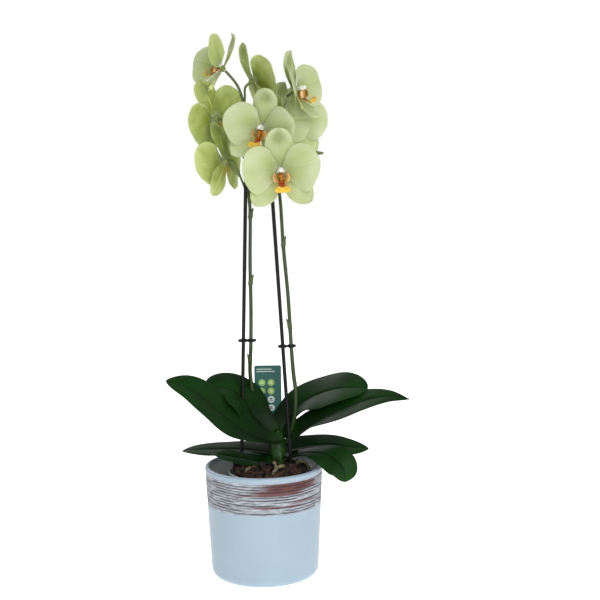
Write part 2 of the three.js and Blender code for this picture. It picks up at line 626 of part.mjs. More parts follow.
const crownCutter = toSolid(crown(GAP));
const rootCutter = roots(GAP);
const stakeCutters = Object.values(STAKES).map((one) => toSolid(stake(one, STAKE_RADIUS + GAP)));
const spikeCutters = Object.values(SPIKES).map((one) => {
  return toSolid(limb(stemPath(one), () => SPIKE.footRadius + GAP, SPIKE.sides, SPIKE.steps));
});
const bark = join([barkBody(), ...barkChips()]);
const barkCutters = [crownCutter, rootCutter, ...stakeCutters, toSolid(label(GAP))];
add('bark', toGeometry(largest(cut(bark, barkCutters))), MATERIALS.bark);
add('roots', toGeometry(largest(cut(roots(0), [crownCutter, ...stakeCutters]))), MATERIALS.root);
add('crown', toGeometry(toSolid(crown(0))), MATERIALS.crownGreen);

const leafCutters = [];
for (const [name, one] of Object.entries(LEAVES)) {
  const cutters = [crownCutter, ...spikeCutters, ...stakeCutters, ...leafCutters];
  add(name, toGeometry(largest(cut(toSolid(leaf(one, 0)), cutters))), MATERIALS.leafGreen);
  leafCutters.push(toSolid(leaf(one, GAP)));
}
for (const name of Object.keys(SPIKES)) {
  add(name, toGeometry(largest(cut(join(spike(name)), [crownCutter]))), MATERIALS.spikeGreen);
}
for (const [name, one] of Object.entries(STAKES)) {
  add(name, toGeometry(toSolid(stake(one, STAKE_RADIUS))), MATERIALS.stakeBlack);
}
for (const [name, one] of Object.entries(CLIPS)) {
  const which = Object.keys(STAKES).indexOf(`${one.side}_stake`);
  const held = [stakeCutters[which], spikeCutters[which]];
  add(name, toGeometry(largest(cut(clip(one), held))), MATERIALS.stakeBlack);
}
add('care_label', toGeometry(toSolid(label(0))), MATERIALS.card);

// Each bloom's tepals are trimmed where an earlier bloom's touch them, and its lip and column where its own
// petals lean over them.
const tepalCutters = [];
for (const [name, one] of Object.entries(BLOOMS)) {
  const matrix = bloomMatrix(one);
  const placed = (pieces) => join(pieces.map((piece) => piece.applyMatrix4(matrix)));
  const grown = placed(tepals(one.petals ?? {}, GAP));
  const clear = largest(cut(placed(tepals(one.petals ?? {}, 0)), tepalCutters));
  add(`${name}_tepals`, toGeometry(clear), MATERIALS.tepal);
  const inside = one.petals ? [grown] : [];
  add(`${name}_lip`, toGeometry(largest(cut(placed(lip()), inside))), MATERIALS.lip);
  add(`${name}_column`, toGeometry(largest(cut(placed([column()]), inside))), MATERIALS.column);
  tepalCutters.push(grown);
}

export default plant;
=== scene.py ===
"""A potted moth orchid: nine yellow-green blooms on two staked flower spikes, strap leaves, bark and a
combed, glazed cover pot.

Every size in the tables below is in millimetres, in the frame of the solid model, and MM turns it to
metres. The model faces -Y and stands on Z = 0.
"""

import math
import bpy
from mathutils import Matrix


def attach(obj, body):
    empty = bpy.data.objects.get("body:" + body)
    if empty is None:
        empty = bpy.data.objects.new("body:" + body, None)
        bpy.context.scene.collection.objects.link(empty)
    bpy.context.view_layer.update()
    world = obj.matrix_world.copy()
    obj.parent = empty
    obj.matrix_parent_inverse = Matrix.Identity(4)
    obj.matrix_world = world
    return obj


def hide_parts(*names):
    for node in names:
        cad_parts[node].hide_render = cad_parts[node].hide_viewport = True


bl_info = {
    "name": "Potted Moth Orchid",
    "version": (1, 0, 0),
    "blender": (4, 5, 0),
    "location": "View3D > Sidebar > Orchid",
    "description": "Builds a moth orchid in a combed and glazed cover pot",
    "category": "Add Mesh",
}

import bpy
import numpy as np
from mathutils import Matrix

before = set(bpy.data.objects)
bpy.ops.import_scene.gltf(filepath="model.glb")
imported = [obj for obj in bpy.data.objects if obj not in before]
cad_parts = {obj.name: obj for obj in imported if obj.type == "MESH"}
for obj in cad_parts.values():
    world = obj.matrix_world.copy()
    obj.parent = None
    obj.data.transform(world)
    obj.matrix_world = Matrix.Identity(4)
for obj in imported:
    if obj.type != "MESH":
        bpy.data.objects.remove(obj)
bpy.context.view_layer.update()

MM = 0.001
BODY = "root"

# ---- sizes, in millimetres ----
COVER_POT = {"top_radius": 68.2, "foot_radius": 61.8, "height": 129, "wall": 5, "floor": 7, "foot_round": 9}
COMB = {"low": 86, "high": 122.5, "pitch": 3.1, "depth": 0.45, "wander": 0.7}
# Rust-red patches in the combed band: middle and half width in degrees round the pot, lowest and highest
# height, and strength.
RUST = [
    (-60, 48, 112, 122, 1.05), (-74, 42, 107, 115, 0.95), (-95, 34, 107, 110.5, 0.75),
    (-74, 44, 93, 96.5, 0.9), (-46, 26, 96, 101, 0.65), (-150, 40, 112, 120, 0.4),
    (78, 30, 98, 108, 0.8), (150, 26, 110, 121, 0.7), (20, 20, 92, 99, 0.5),
]
NURSERY_POT = {
    "x": 8.5, "y": 2, "top_radius": 50.5, "foot_radius": 39, "height": 114.5, "wall": 1.1, "lip": 2,
}
GAP = 0.35  # the air left between pieces that touch
HEAP = {"edge": 119, "crown": 126, "bottom": 10, "radius": 46.0, "chips": 420}
CROWN = {"x": 17, "y": 15, "bottom": 114, "top": 165, "wide": 9, "deep": 8}
ROOT_RADIUS = 2.3
STAKE_RADIUS = 2.1
LEAF_THICKNESS = 1.8
TEPAL_THICKNESS = 0.95
RUFFLE = 0.9
STEM = {"foot": 2.5, "tip": 1.5, "pedicel": 1.3}
LABEL = {
    "x": 5, "y": 46.9, "top": 237, "width": 32, "card": 56, "taper": 32, "stem": 9, "thick": 0.9, "foot": 103,
}
SPOT = {"radius": 4.1, "columns": (-2.2, 8.7), "top_row": 216.4, "row_step": 10.2, "proud": 0.12}
CLIP = {"length": 21, "bar": 3.4, "ring": 4.1, "height": 3.4}

# Each root leaves the knob under the crown, arches over the bark and dives back in.
ROOTS = [
    [[21, 14, 106], [34, 7, 122], [41, 4, 130.5], [49, 2, 129.5], [54, -2, 116]],
    [[15, 11, 106], [13, 4, 122], [12, -3, 130.5], [14, -12, 129.5], [16, -18, 114]],
    [[13, 11, 106], [2, 2, 120], [-8, -10, 129], [-18, -17, 128], [-24, -20, 114]],
    [[12, 14, 106], [-4, 8, 120], [-14, 4, 128.5], [-22, 0, 128], [-28, -2, 114]],
    [[19, 11, 106], [24, -2, 121], [23, -14, 129.5], [14, -25, 128.5], [8, -31, 113]],
]

# midrib: its points. half: half the widest width. face: the way the upper face looks, and face_end the way
# it looks at the tip where that differs. fold: how many degrees the two halves rise from the midrib, at the
# base and at the tip. sheath: the base's share of the width. widest: where on the leaf it is widest. tip: 1
# for a blunt tip, 2 for one drawn to a point.
LEAVES = {
    "leaf_1": {
        "midrib": [[25, 7, 154], [10, 0, 155], [-8, -8, 163], [-36, -25, 185], [-64, -40, 213],
                   [-84, -46, 229], [-106, -48, 237]],
        "half": 31, "face": [0.3, -0.46, 0.82], "sheath": 0.36, "widest": 0.5, "fold": [36, 8], "tip": 1.3,
    },
    "leaf_2": {
        "midrib": [[6, 18, 157], [-8, 19, 177], [-22, 14, 202], [-37, 8, 215], [-51, 2, 219], [-60, -4, 214]],
        "half": 30, "face": [0.2, -0.52, 0.82], "sheath": 0.6, "widest": 0.56, "fold": [38, 8], "tip": 1.1,
    },
    "leaf_3": {
        "midrib": [[20, 26, 155], [29, 34, 174], [46, 37, 193], [70, 31, 206], [92, 21, 213], [122, 8, 215]],
        "half": 29, "face": [-0.25, -0.45, 0.83], "sheath": 0.58, "widest": 0.56, "fold": [38, 8], "tip": 1.1,
    },
    "leaf_4": {
        "midrib": [[29, 17, 149], [50, 12, 167], [83, 0, 189], [116, -8, 203], [145, -12, 209],
                   [168, -14, 206]],
        "half": 24, "face": [-0.25, -0.36, 0.88], "sheath": 0.74, "widest": 0.42, "fold": [40, 8], "tip": 1.8,
    },
    "leaf_5": {
        "midrib": [[10, 20, 134], [-18, 34, 137], [-46, 37, 138], [-72, 37, 138], [-98, 35, 137]],
        "half": 19, "face": [0, -0.2, 1], "sheath": 0.8, "widest": 0.56, "fold": [34, 6], "tip": 1.5,
    },
    "leaf_6": {
        "midrib": [[10, 7, 127], [-8, -3, 132], [-30, -13, 140], [-57, -20, 146]],
        "half": 16, "face": [0, -0.3, 1], "sheath": 0.8, "widest": 0.56, "fold": [30, 6], "tip": 1.5,
    },
    "leaf_7": {
        "midrib": [[23, 19, 138], [48, 35, 140.5], [72, 38, 142], [98, 37, 139], [124, 35, 137]],
        "half": 20, "face": [0, -0.36, 0.93], "sheath": 0.8, "widest": 0.56, "fold": [34, 6], "tip": 1.5,
    },
    "leaf_8": {
        "midrib": [[28, 14, 133], [42, 2, 139], [58, -12, 144], [74, -25, 144], [86, -34, 138],
                   [92, -39, 129], [93, -41, 117]],
        "half": 19, "face": [-0.2, -0.12, 1], "face_end": [0.35, -0.9, 0.25], "sheath": 0.5, "widest": 0.78,
        "fold": [24, 6], "tip": 1.3,
    },
}

# A petal is a fan from the hub: its length, half its opening angle in degrees, half its widest width, and its
# outline, the share of the length that it reaches from its lower edge, -1, to its upper edge, 1. A sepal is a
# blade with a leaf's outline.
PETAL = {
    "length": 46, "open": 59, "half": 27,
    "outline": [[-1, 0.5, 0], [-0.88, 0.76, 0], [-0.68, 0.88, 0], [-0.42, 0.93, 0], [-0.15, 0.97, 0],
                [0.1, 1, 0], [0.3, 0.965, 0], [0.5, 0.89, 0], [0.69, 0.79, 0], [0.86, 0.66, 0], [1, 0.5, 0]],
}
DORSAL = {"length": 47, "half": 15.5, "sheath": 0.42, "widest": 0.62, "tip": 0.95}
LATERAL = {"length": 48, "half": 14.5, "sheath": 0.4, "widest": 0.58, "tip": 1.25}

# Poses, in degrees: the angle from straight up round the bloom, the lean back and the twist.
PETAL_POSE = (81, 17, 0)
DORSAL_POSE = (0, 3, 0)
LATERAL_POSE = (138, 5, 0)

# centre: the hub. turn: the way the bloom faces, 0 towards -Y and positive towards +X. nod: how far it
# looks up. lean: how far its top leans clockwise as it is seen from the front. size: its share of the
# tables' sizes. lip: its lip's share of that. paleness: how pale the backs of its tepals are at least.
# right, left and the laterals: the poses that differ from the usual ones.
BLOOMS = {
    "right_bloom_1": {"centre": [25, -46.5, 468], "turn": 4, "nod": 0, "lean": -3, "size": 1},
    "left_bloom_2": {"centre": [5, -24, 515], "turn": -14, "nod": 0, "lean": 9, "size": 0.94},
    "left_bloom_5": {"centre": [-40, 3, 583], "turn": -76, "nod": 27, "lean": 0, "size": 0.86, "lip": 0.8,
                     "paleness": 0.9, "right": (36, 45, -12), "left": (94, 48, 0)},
    "left_bloom_3": {"centre": [-49, 12, 528], "turn": -135, "nod": 0, "lean": 24, "size": 0.97,
                     "right": (84, -5, 0), "left": (74, -6, 0)},
    "left_bloom_1": {"centre": [-39, 0, 480], "turn": -116, "nod": -6, "lean": 8, "size": 0.95,
                     "right": (84, 17, 0), "left": (82, 0, 0)},
    "left_bloom_4": {"centre": [-6, 26, 570], "turn": 112, "nod": 23, "lean": 0, "size": 0.94,
                     "left_lateral": (138, -12, 0)},
    "right_bloom_4": {"centre": [43, 0, 557], "turn": 63, "nod": 14, "lean": -8, "size": 0.95, "lip": 0.85,
                      "paleness": 0.6, "left": (72, 22, 0), "left_lateral": (120, 22, 0)},
    "right_bloom_2": {"centre": [24, 8, 524], "turn": 52, "nod": 6, "lean": 7, "size": 0.93, "lip": 0.7,
                      "left": (92, 45, 0), "left_lateral": (156, 20, 0)},
    "right_bloom_3": {"centre": [38, 54, 522], "turn": 28, "nod": 0, "lean": 5, "size": 0.93, "lip": 0.75,
                      "right": (71, 17, 0), "right_lateral": (133, 5, 0), "left_lateral": (142, -16, 0)},
}

# The middle lines of the lip and the column, in the bloom's own frame. The horn, whisker, lobe and wing are
# the right-hand ones.
LIP = {
    "tongue": [[0, -4, -3.5], [0, -7, -9], [0, -11, -15.5], [0, -16, -21.5], [0, -20.5, -22.5],
               [0, -22.5, -16.5]],
    "callus": [[0, -4.2, -4], [0, -8.5, -7], [0, -10.5, -12]],
    "lobe": [[1.5, -8, -12], [6, -9.5, -12], [8.5, -11, -7.5], [7, -11.5, -2.5]],
    "whisker": [[2, -21, -21], [5.4, -23, -19], [7.5, -22, -15], [5.5, -20, -13.5]],
    "horn": [[1.0, -8.6, -7], [1.7, -11.4, -6.6], [2.6, -13.4, -5.0]],
}
COLUMN = {
    "stalk": [[0, -2.5, 0.8], [0, -7, 1.4], [0, -11, 0.4], [0, -12.6, -1.2]],
    "cap": [[0, -9.8, 1.6], [0, -12, 1.0], [0, -13.2, -1.2]],
    "wing": [[1.6, -4.5, 0.6], [3.1, -8, -0.2], [2.4, -11, -1.6]],
}

# stem: the points up to the last bloom, which the stem's end meets. bracts: the share of the stem at which
# each clasps it, and its side. blooms: where on the stem each bloom's pedicel joins.
SPIKES = {
    "left_spike": {
        "stem": [
            [11, 23, 150], [4, 31, 163], [-6, 33, 180], [-12, 31, 205], [-15, 24, 232], [-13, 10, 268],
            [-12, 6, 308], [-12, 5.5, 364], [-11, 6, 418], [-12, 7, 446], [-14, 7, 492], [-15, 7, 525],
            [-17, 7, 547], [-23, 7, 564],
        ],
        "bracts": [[0.24, -1], [0.45, 1], [0.62, 1]],
        "last": "left_bloom_5",
        "blooms": {"left_bloom_1": 0.66, "left_bloom_2": 0.74, "left_bloom_3": 0.81, "left_bloom_4": 0.885},
    },
    "right_spike": {
        "stem": [
            [26, 19, 150], [32, 20, 164], [37, 16, 183], [38, 10, 213], [36, 7, 233], [34, 2, 263],
            [31, 1, 324], [26.5, 1, 380], [23, 4, 440], [18, 17, 470], [13, 36, 502], [14, 48, 525],
            [23, 48, 546], [40, 30, 557],
        ],
        "bracts": [[0.3, -1], [0.5, 1]],
        "last": "right_bloom_4",
        "blooms": {"right_bloom_1": 0.7, "right_bloom_2": 0.735, "right_bloom_3": 0.87},
    },
}
SMALL_BUD = {
    "spike": "right_spike", "share": 0.78,
    "path": [[40, 18, 482], [58, 14, 486], [67, 12, 487], [74, 11, 487]],
}
STAKES = {
    "left_stake": {"foot": [-28.5, 20, 72], "top": [-13.5, -4.5, 500]},
    "right_stake": {"foot": [36.5, 3.5, 40], "top": [13, -4, 470]},
}
CLIPS = {
    "left_clip_low": {"side": "left", "height": 273},
    "left_clip_high": {"side": "left", "height": 483},
    "right_clip_low": {"side": "right", "height": 267},
    "right_clip_high": {"side": "right", "height": 456},
}


# ---- small mathematics ----
def linear(hex_colour):
    """An sRGB hex colour as linear red, green and blue."""
    channels = [int(hex_colour[i:i + 2], 16) / 255 for i in (1, 3, 5)]
    return [c / 12.92 if c <= 0.04045 else ((c + 0.055) / 1.055) ** 2.4 for c in channels]


def smooth(x, low, high):
    """0 below low and 1 above high, with the smoothstep cubic 3t^2 - 2t^3 between them."""
    t = np.clip((x - low) / (high - low), 0, 1)
    return t * t * (3 - 2 * t)


def bent(x, power):
    """The size of x raised to a power, with the sign of x."""
    return np.sign(x) * np.abs(x) ** power


def bell(x, width):
    """A bell-shaped curve, 1 at 0 and 0.37 at the width."""
    return np.exp(-(x / width) ** 2)


def unit(vectors):
    """Each vector at length 1."""
    return vectors / np.maximum(np.linalg.norm(vectors, axis=-1, keepdims=True), 1e-9)


def turn_about(axis, degrees):
    """The 3 x 3 matrix that turns by an angle about the x, y or z axis, right-handed."""
    c, s = math.cos(math.radians(degrees)), math.sin(math.radians(degrees))
    rows = {
        "x": [[1, 0, 0], [0, c, -s], [0, s, c]],
        "y": [[c, 0, s], [0, 1, 0], [-s, 0, c]],
        "z": [[c, -s, 0], [s, c, 0], [0, 0, 1]],
    }
    return np.array(rows[axis])


def around(count):
    """Even angles round a circle."""
    return np.linspace(0, 2 * math.pi, count, endpoint=False)


def grid(rows, columns, crowding=0.0):
    """A sheet's two parameters: u from 0 to 1 along it, and v from -1 to 1 across it. With crowding 1 the v
    are sines of even angles, so that they crowd at both edges."""
    even = np.linspace(-1, 1, columns)
    v = even * (1 - crowding) + np.sin(even * math.pi / 2) * crowding
    return np.linspace(0, 1, rows)[:, None], v[None, :]


class Path:
    """A smooth line through points, a centripetal Catmull-Rom spline, read by the share of its length.

    Between points b and c the knots lie the square root of the chord apart, and the cubic leaves b and
    meets c with the tangents that those knots give."""

    def __init__(self, points, span=30):
        p = np.asarray(points, float)
        q = np.vstack([2 * p[0] - p[1], p, 2 * p[-1] - p[-2]])
        knots = np.sqrt(np.linalg.norm(np.diff(q, axis=0), axis=1))[:, None]
        d0, d1, d2 = knots[:-2], knots[1:-1], knots[2:]
        a, b, c, d = q[:-3], q[1:-2], q[2:-1], q[3:]
        leave = ((b - a) / d0 - (c - a) / (d0 + d1) + (c - b) / d1) * d1
        meet = ((c - b) / d1 - (d - b) / (d1 + d2) + (d - c) / d2) * d1
        w = np.linspace(0, 1, span, endpoint=False)[None, :, None]
        cubic = 2 * (b - c) + leave + meet
        square = 3 * (c - b) - 2 * leave - meet
        curve = b[:, None] + leave[:, None] * w + square[:, None] * w ** 2 + cubic[:, None] * w ** 3
        self.points = np.vstack([curve.reshape(-1, 3), p[-1:]])
        steps = np.linalg.norm(np.diff(self.points, axis=0), axis=1)
        self.length = steps.sum()
        self.shares = np.concatenate([[0], np.cumsum(steps)]) / self.length

    def at(self, share):
        return np.stack([np.interp(share, self.shares, self.points[:, k]) for k in range(3)], -1)

    def along(self, share, step=0.01):
        return unit(self.at(np.minimum(share + step, 1)) - self.at(np.maximum(share - step, 0)))


# ---- surfaces ----
class Skin:
    """The closed surfaces of one object, gathered as arrays: points, face corners, a UV pair for each face
    corner, and named values for each point."""

    def __init__(self, *names):
        self.count = 0
        self.points, self.corners, self.sizes, self.uvs = [], [], [], []
        self.values = {name: [] for name in names}

    def add(self, points, faces, uvs, **values):
        """Takes points (n, 3), faces as arrays of quads or triangles, and a UV array (faces, corners, 2)
        for each. A surface whose volume, the sum of its corner triangles' signed volumes, is negative is
        turned."""
        volume = 0.0
        for face in faces:
            first = points[face[:, 0]]
            for k in range(1, face.shape[1] - 1):
                volume += np.einsum("ij,ij->", first, np.cross(points[face[:, k]], points[face[:, k + 1]]))
        for face, uv in zip(faces, uvs):
            if volume < 0:
                face, uv = face[:, ::-1], uv[:, ::-1]
            self.corners.append((face + self.count).ravel())
            self.sizes.append(np.full(len(face), face.shape[1]))
            self.uvs.append(uv.reshape(-1, 2))
        self.points.append(points)
        self.count += len(points)
        for name, gathered in self.values.items():
            value = values.get(name, 0.0)
            gathered.append(np.ravel(value) if np.ndim(value) else np.full(len(points), value))

    def loops(self, rings, uv=None, ends=("fan", "fan"), **values):
        """A closed skin on rings (steps, sides, 3) of points, each ring joined to the next and to itself.
        uv is (steps, sides + 1, 2). Each end is closed by a fan from its middle, or by a zip across a
        flat ring. With no ends the last ring is joined to the first, and uv has a row more."""
        steps, sides = rings.shape[:2]
        if uv is None:
            uv = np.zeros((steps + (not ends), sides + 1, 2))
        i = np.arange(steps - bool(ends))[:, None] * sides
        after = (i + sides) % (steps * sides)
        j = np.arange(sides)[None, :]
        k = (j + 1) % sides
        faces = [np.stack([i + j, i + k, after + k, after + j], -1).reshape(-1, 4)]
        uvs = [np.stack([uv[:-1, :-1], uv[:-1, 1:], uv[1:, 1:], uv[1:, :-1]], 2).reshape(-1, 4, 2)]
        points = rings.reshape(-1, 3)
        middles = []
        for end, start, row in zip(ends, (0, (steps - 1) * sides), (0, -1)):
            if end == "fan":
                middle = len(points) + len(middles)
                middles.append(rings[row].mean(0))
                face = np.stack([start + k[0], start + j[0], np.full(sides, middle)], -1)
                centre_uv = np.broadcast_to(uv[row].mean(0), (sides, 2))
                face_uv = np.stack([uv[row, 1:], uv[row, :-1], centre_uv], 1)
            else:
                a = np.arange(sides // 2 - 1)
                b = sides - 1 - a
                face = np.stack([start + a + 1, start + a, start + b, start + b - 1], -1)
                face_uv = np.stack([uv[row, a + 1], uv[row, a], uv[row, b], uv[row, b - 1]], 1)
            if row == -1:
                face, face_uv = face[:, ::-1], face_uv[:, ::-1]
            faces.append(face)
            uvs.append(face_uv)
        if middles:
            points = np.vstack([points, middles])
        for name, value in values.items():
            if np.ndim(value):
                tails = [value[row].mean() for end, row in zip(ends, (0, -1)) if end == "fan"]
                values[name] = np.concatenate([np.ravel(value), tails])
        self.add(points, faces, uvs, **values)

    def sheet(self, middle, thickness, u, v, **values):
        """A closed blade on the grid middle (rows, columns, 3): each point is moved half the thickness along
        the grid's normal, one way for the front face and the other for the back. The value named front is 1
        on the front face and 0 on the back."""
        normal = unit(np.cross(np.gradient(middle, axis=0), np.gradient(middle, axis=1)))
        offset = normal * (np.broadcast_to(thickness, middle.shape[:2])[..., None] / 2)
        rings = np.concatenate([middle + offset, (middle - offset)[:, ::-1]], 1)
        uv = np.stack(np.broadcast_arrays(u, v), -1)
        uv = np.concatenate([uv, uv[:, ::-1], uv[:, :1]], 1)
        full = {k: np.concatenate([x, x[:, ::-1]], 1) if np.ndim(x) else x for k, x in values.items()}
        front = np.concatenate([np.ones(middle.shape[:2]), np.zeros(middle.shape[:2])], 1)
        self.loops(rings, uv, ("zip", "zip"), front=front, **full)

    def tube(self, path, radius, sides=14, steps=60, **values):
        """A round skin along a path: ring points are centre + radius(share) * (cos a * right + sin a * up),
        where right and up are carried from ring to ring so that they don't twist. UV is the distance along
        the path and round it, in metres."""
        share = (1 - np.cos(np.linspace(0, math.pi, steps))) / 2
        centre, forward = path.at(share), path.along(share)
        side = unit(np.cross(forward[0], [0.3, 1.0, 0.2]))
        carried = []
        for direction in forward:
            side = unit(side - direction * np.dot(side, direction))
            carried.append(side)
        right = np.array(carried)
        up = np.cross(forward, right)
        angle = around(sides)[None, :, None]
        ring = np.cos(angle) * right[:, None] + np.sin(angle) * up[:, None]
        uv = np.stack(np.broadcast_arrays(
            share[:, None] * path.length,
            np.linspace(0, 2 * math.pi, sides + 1)[None, :] * np.mean(radius(share))), -1)
        full = {name: value(share)[:, None] * np.ones(sides) if callable(value) else value
                for name, value in values.items()}
        self.loops(centre[:, None] + radius(share)[:, None, None] * ring, uv, **full)

    def turned(self, profile, sides, centre=(0, 0), depth=1.0, wall=None, **values):
        """A skin of revolution about Z from a profile (steps, 2) of radius and height, whose ends lie on
        the axis. wall(angle, height) is added to the radius. UV is the distance round, in metres, and
        the height."""
        angle = around(sides)[None, :]
        radius = np.maximum(profile[:, :1], 1e-5) * np.ones_like(angle)
        if wall is not None:
            radius = radius + wall(angle, profile[:, 1:2])
        height = profile[:, 1:2] * np.ones_like(angle)
        x, y = centre[0] + radius * np.cos(angle), centre[1] + depth * radius * np.sin(angle)
        rings = np.stack([x, y, height], -1)
        round_uv = np.linspace(0, 2 * math.pi, sides + 1)[None, :] * profile[:, 0].max()
        uv = np.stack(np.broadcast_arrays(round_uv, profile[:, 1:2]), -1)
        self.loops(rings, uv, **values)

    def make(self, name, nodes, material, flat=False):
        """The object: it stands for the named CAD nodes and rides on the model's one body."""
        mesh = bpy.data.meshes.new(name)
        points, corners = np.vstack(self.points), np.concatenate(self.corners)
        sizes, uvs = np.concatenate(self.sizes), np.vstack(self.uvs)
        mesh.vertices.add(len(points))
        mesh.vertices.foreach_set("co", points.ravel())
        mesh.loops.add(len(corners))
        mesh.loops.foreach_set("vertex_index", corners)
        mesh.polygons.add(len(sizes))
        mesh.polygons.foreach_set("loop_start", np.cumsum(sizes) - sizes)
        mesh.update(calc_edges=True)
        mesh.uv_layers.new(name="UVMap").data.foreach_set("uv", uvs.ravel())
        for key, gathered in self.values.items():
            mesh.attributes.new(key, "FLOAT", "POINT").data.foreach_set("value", np.concatenate(gathered))
        mesh.polygons.foreach_set("use_smooth", np.full(len(sizes), not flat))
        mesh.materials.append(material)
        mesh.update()
        piece = bpy.data.objects.new(name, mesh)
        bpy.context.scene.collection.objects.link(piece)
        if nodes:
            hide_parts(*nodes)
        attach(piece, BODY)
        return piece


# ---- shapes of the pieces ----
def pot_wall(height):
    """The cover pot's outer radius, in millimetres, at a height: a straight taper."""
    foot, top = COVER_POT["foot_radius"], COVER_POT["top_radius"]
    return foot + (top - foot) * height / COVER_POT["height"]


def combed(angle, height, pitch):
    """How deep the potter's comb has cut at each angle and height, from 0 to 1. The lines lie one pitch
    apart, wander slowly up and down round the pot, have a bell-shaped section, and come and go with a
    sum of three sines whose phases are drawn for each line."""
    phases = np.random.default_rng(5).uniform(0, 2 * math.pi, (64, 3))
    wander = COMB["wander"] * (np.sin(angle + 1) + 0.5 * np.sin(3 * angle) + 0.25 * np.sin(7 * angle + 2))
    line = (height - COMB["low"] + wander) / pitch
    index = np.clip(np.floor(line), -2, 60).astype(int) % 64
    a, b, c = (phases[index, k] for k in range(3))
    section = bell(line - np.floor(line) - 0.5, 0.21 + 0.07 * np.sin(3 * angle + a))
    present = 0.55 + 0.3 * np.sin(2 * angle + a) + 0.25 * np.sin(5 * angle + b) + 0.2 * np.sin(13 * angle + c)
    inside = smooth(height + wander, COMB["low"] - 1, COMB["low"] + 1.5)
    inside = inside * (1 - smooth(height, COMB["high"] - 1.5, COMB["high"]))
    return section * smooth(present, 0.15, 0.6) * inside


def rusted(angle, height):
    """How rust-red the comb's band is: the strongest of the smooth-edged patches of the table. Degree -90
    is the front and 0 is +X."""
    red = 0.0
    for middle, half, low, high, strength in RUST:
        away = np.abs((np.degrees(angle) - middle + 180) % 360 - 180)
        patch = (1 - smooth(away, half * 0.3, half)) * smooth(height, low, low + 1.2)
        red = np.maximum(red, strength * patch * (1 - smooth(height, high - 1.2, high)))
    return red


def cover_pot(sizes, material):
    """The cover pot: a straight taper with a rounded foot, a half-round rim and a flat floor. In the combed
    band the outer wall is cut in by the comb's depth times combed(angle, height)."""
    height, wall, floor, foot = (COVER_POT[k] for k in ("height", "wall", "floor", "foot_round"))
    pitch, sides, lip = sizes.comb_pitch / MM, 320, wall / 2
    quarter, half = np.linspace(0, math.pi / 2, 10), np.linspace(0, math.pi, 14)
    corner = pot_wall(foot) - foot
    foot_arc = np.stack([corner + foot * np.sin(quarter), foot * (1 - np.cos(quarter))], -1)
    side = np.concatenate([np.linspace(foot + 4, COMB["low"] - 3, 12),
                           np.arange(COMB["low"] - 2.5, COMB["high"] + 1, 0.28)])
    side = np.stack([pot_wall(side), side], -1)
    rim = np.stack([pot_wall(height) - lip + lip * np.cos(half), height - lip + lip * np.sin(half)], -1)
    drop = np.linspace(height - lip - 4, floor + 7, 14)
    inner = np.stack([pot_wall(drop) - wall, drop], -1)
    inner_arc = np.stack([
        pot_wall(floor) - wall - 6 + 6 * np.cos(quarter), floor + 6 - 6 * np.sin(quarter)], -1)
    profile = np.vstack([
        [[0, 0], [corner * 0.6, 0]], foot_arc, side, rim, inner, inner_arc, [[20, floor], [0, floor]]])
    row = np.arange(len(profile))[:, None]
    outside = row < 2 + len(foot_arc) + len(side)
    inside = row >= len(profile) - 2 - len(inner_arc) - len(inner)

    def cut(angle, level):
        return -sizes.comb_depth * combed(angle, level / MM, pitch) * outside

    angle, level = around(sides)[None, :], profile[:, 1:2]
    band = smooth(level, COMB["low"] - 1.5, COMB["low"] + 0.5)
    band = band * (1 - smooth(level, COMB["high"] - 0.5, COMB["high"] + 0.8)) * outside
    values = {
        "groove": combed(angle, level, pitch) * outside,
        "band": band * np.ones_like(angle),
        "wash": rusted(angle, level) * outside,
        # The inner wall below the rim gets painted light: a near-white glaze that lifts its shade.
        "inside": inside * smooth(height - level, 3, 9) * np.ones_like(angle),
    }
    skin = Skin(*values)
    skin.turned(profile * MM, sides, wall=cut, **values)
    return skin.make("stoneware_cover_pot", ["cover_pot"], material)


def nursery_pot(material):
    """The clear pot inside: a thin tapered wall that steps out to a rolled rim."""
    pot = NURSERY_POT
    neck, top, foot, height, wall = (
        pot["top_radius"] - pot["lip"], pot["top_radius"], pot["foot_radius"], pot["height"], pot["wall"])
    roll = np.linspace(-0.2 * math.pi, math.pi, 10)
    rim = np.stack([top - 1.1 + 1.1 * np.cos(roll), height - 1.1 + 1.1 * np.sin(roll)], -1)
    profile = np.vstack([
        [[0, 0], [foot - 1.5, 0], [foot, 1.5], [neck, height - 5.5], [neck + 0.6, height - 4.6],
         [top, height - 4]],
        rim, [[neck - wall, height - 5], [foot - wall, wall + 1], [foot - 3, wall], [0, wall]],
    ])
    profile[:, 1] += COVER_POT["floor"] + GAP
    skin = Skin()
    skin.turned(profile * MM, 120, centre=(pot["x"] * MM, pot["y"] * MM))
    return skin.make("clear_nursery_pot", ["inner_pot"], material)


def heap_height(x, y):
    """The bark's height: it falls with the square of the distance from the middle of the nursery pot."""
    reach = np.hypot(x - NURSERY_POT["x"], y - NURSERY_POT["y"]) / NURSERY_POT["top_radius"]
    return HEAP["crown"] - (HEAP["crown"] - HEAP["edge"]) * reach ** 2


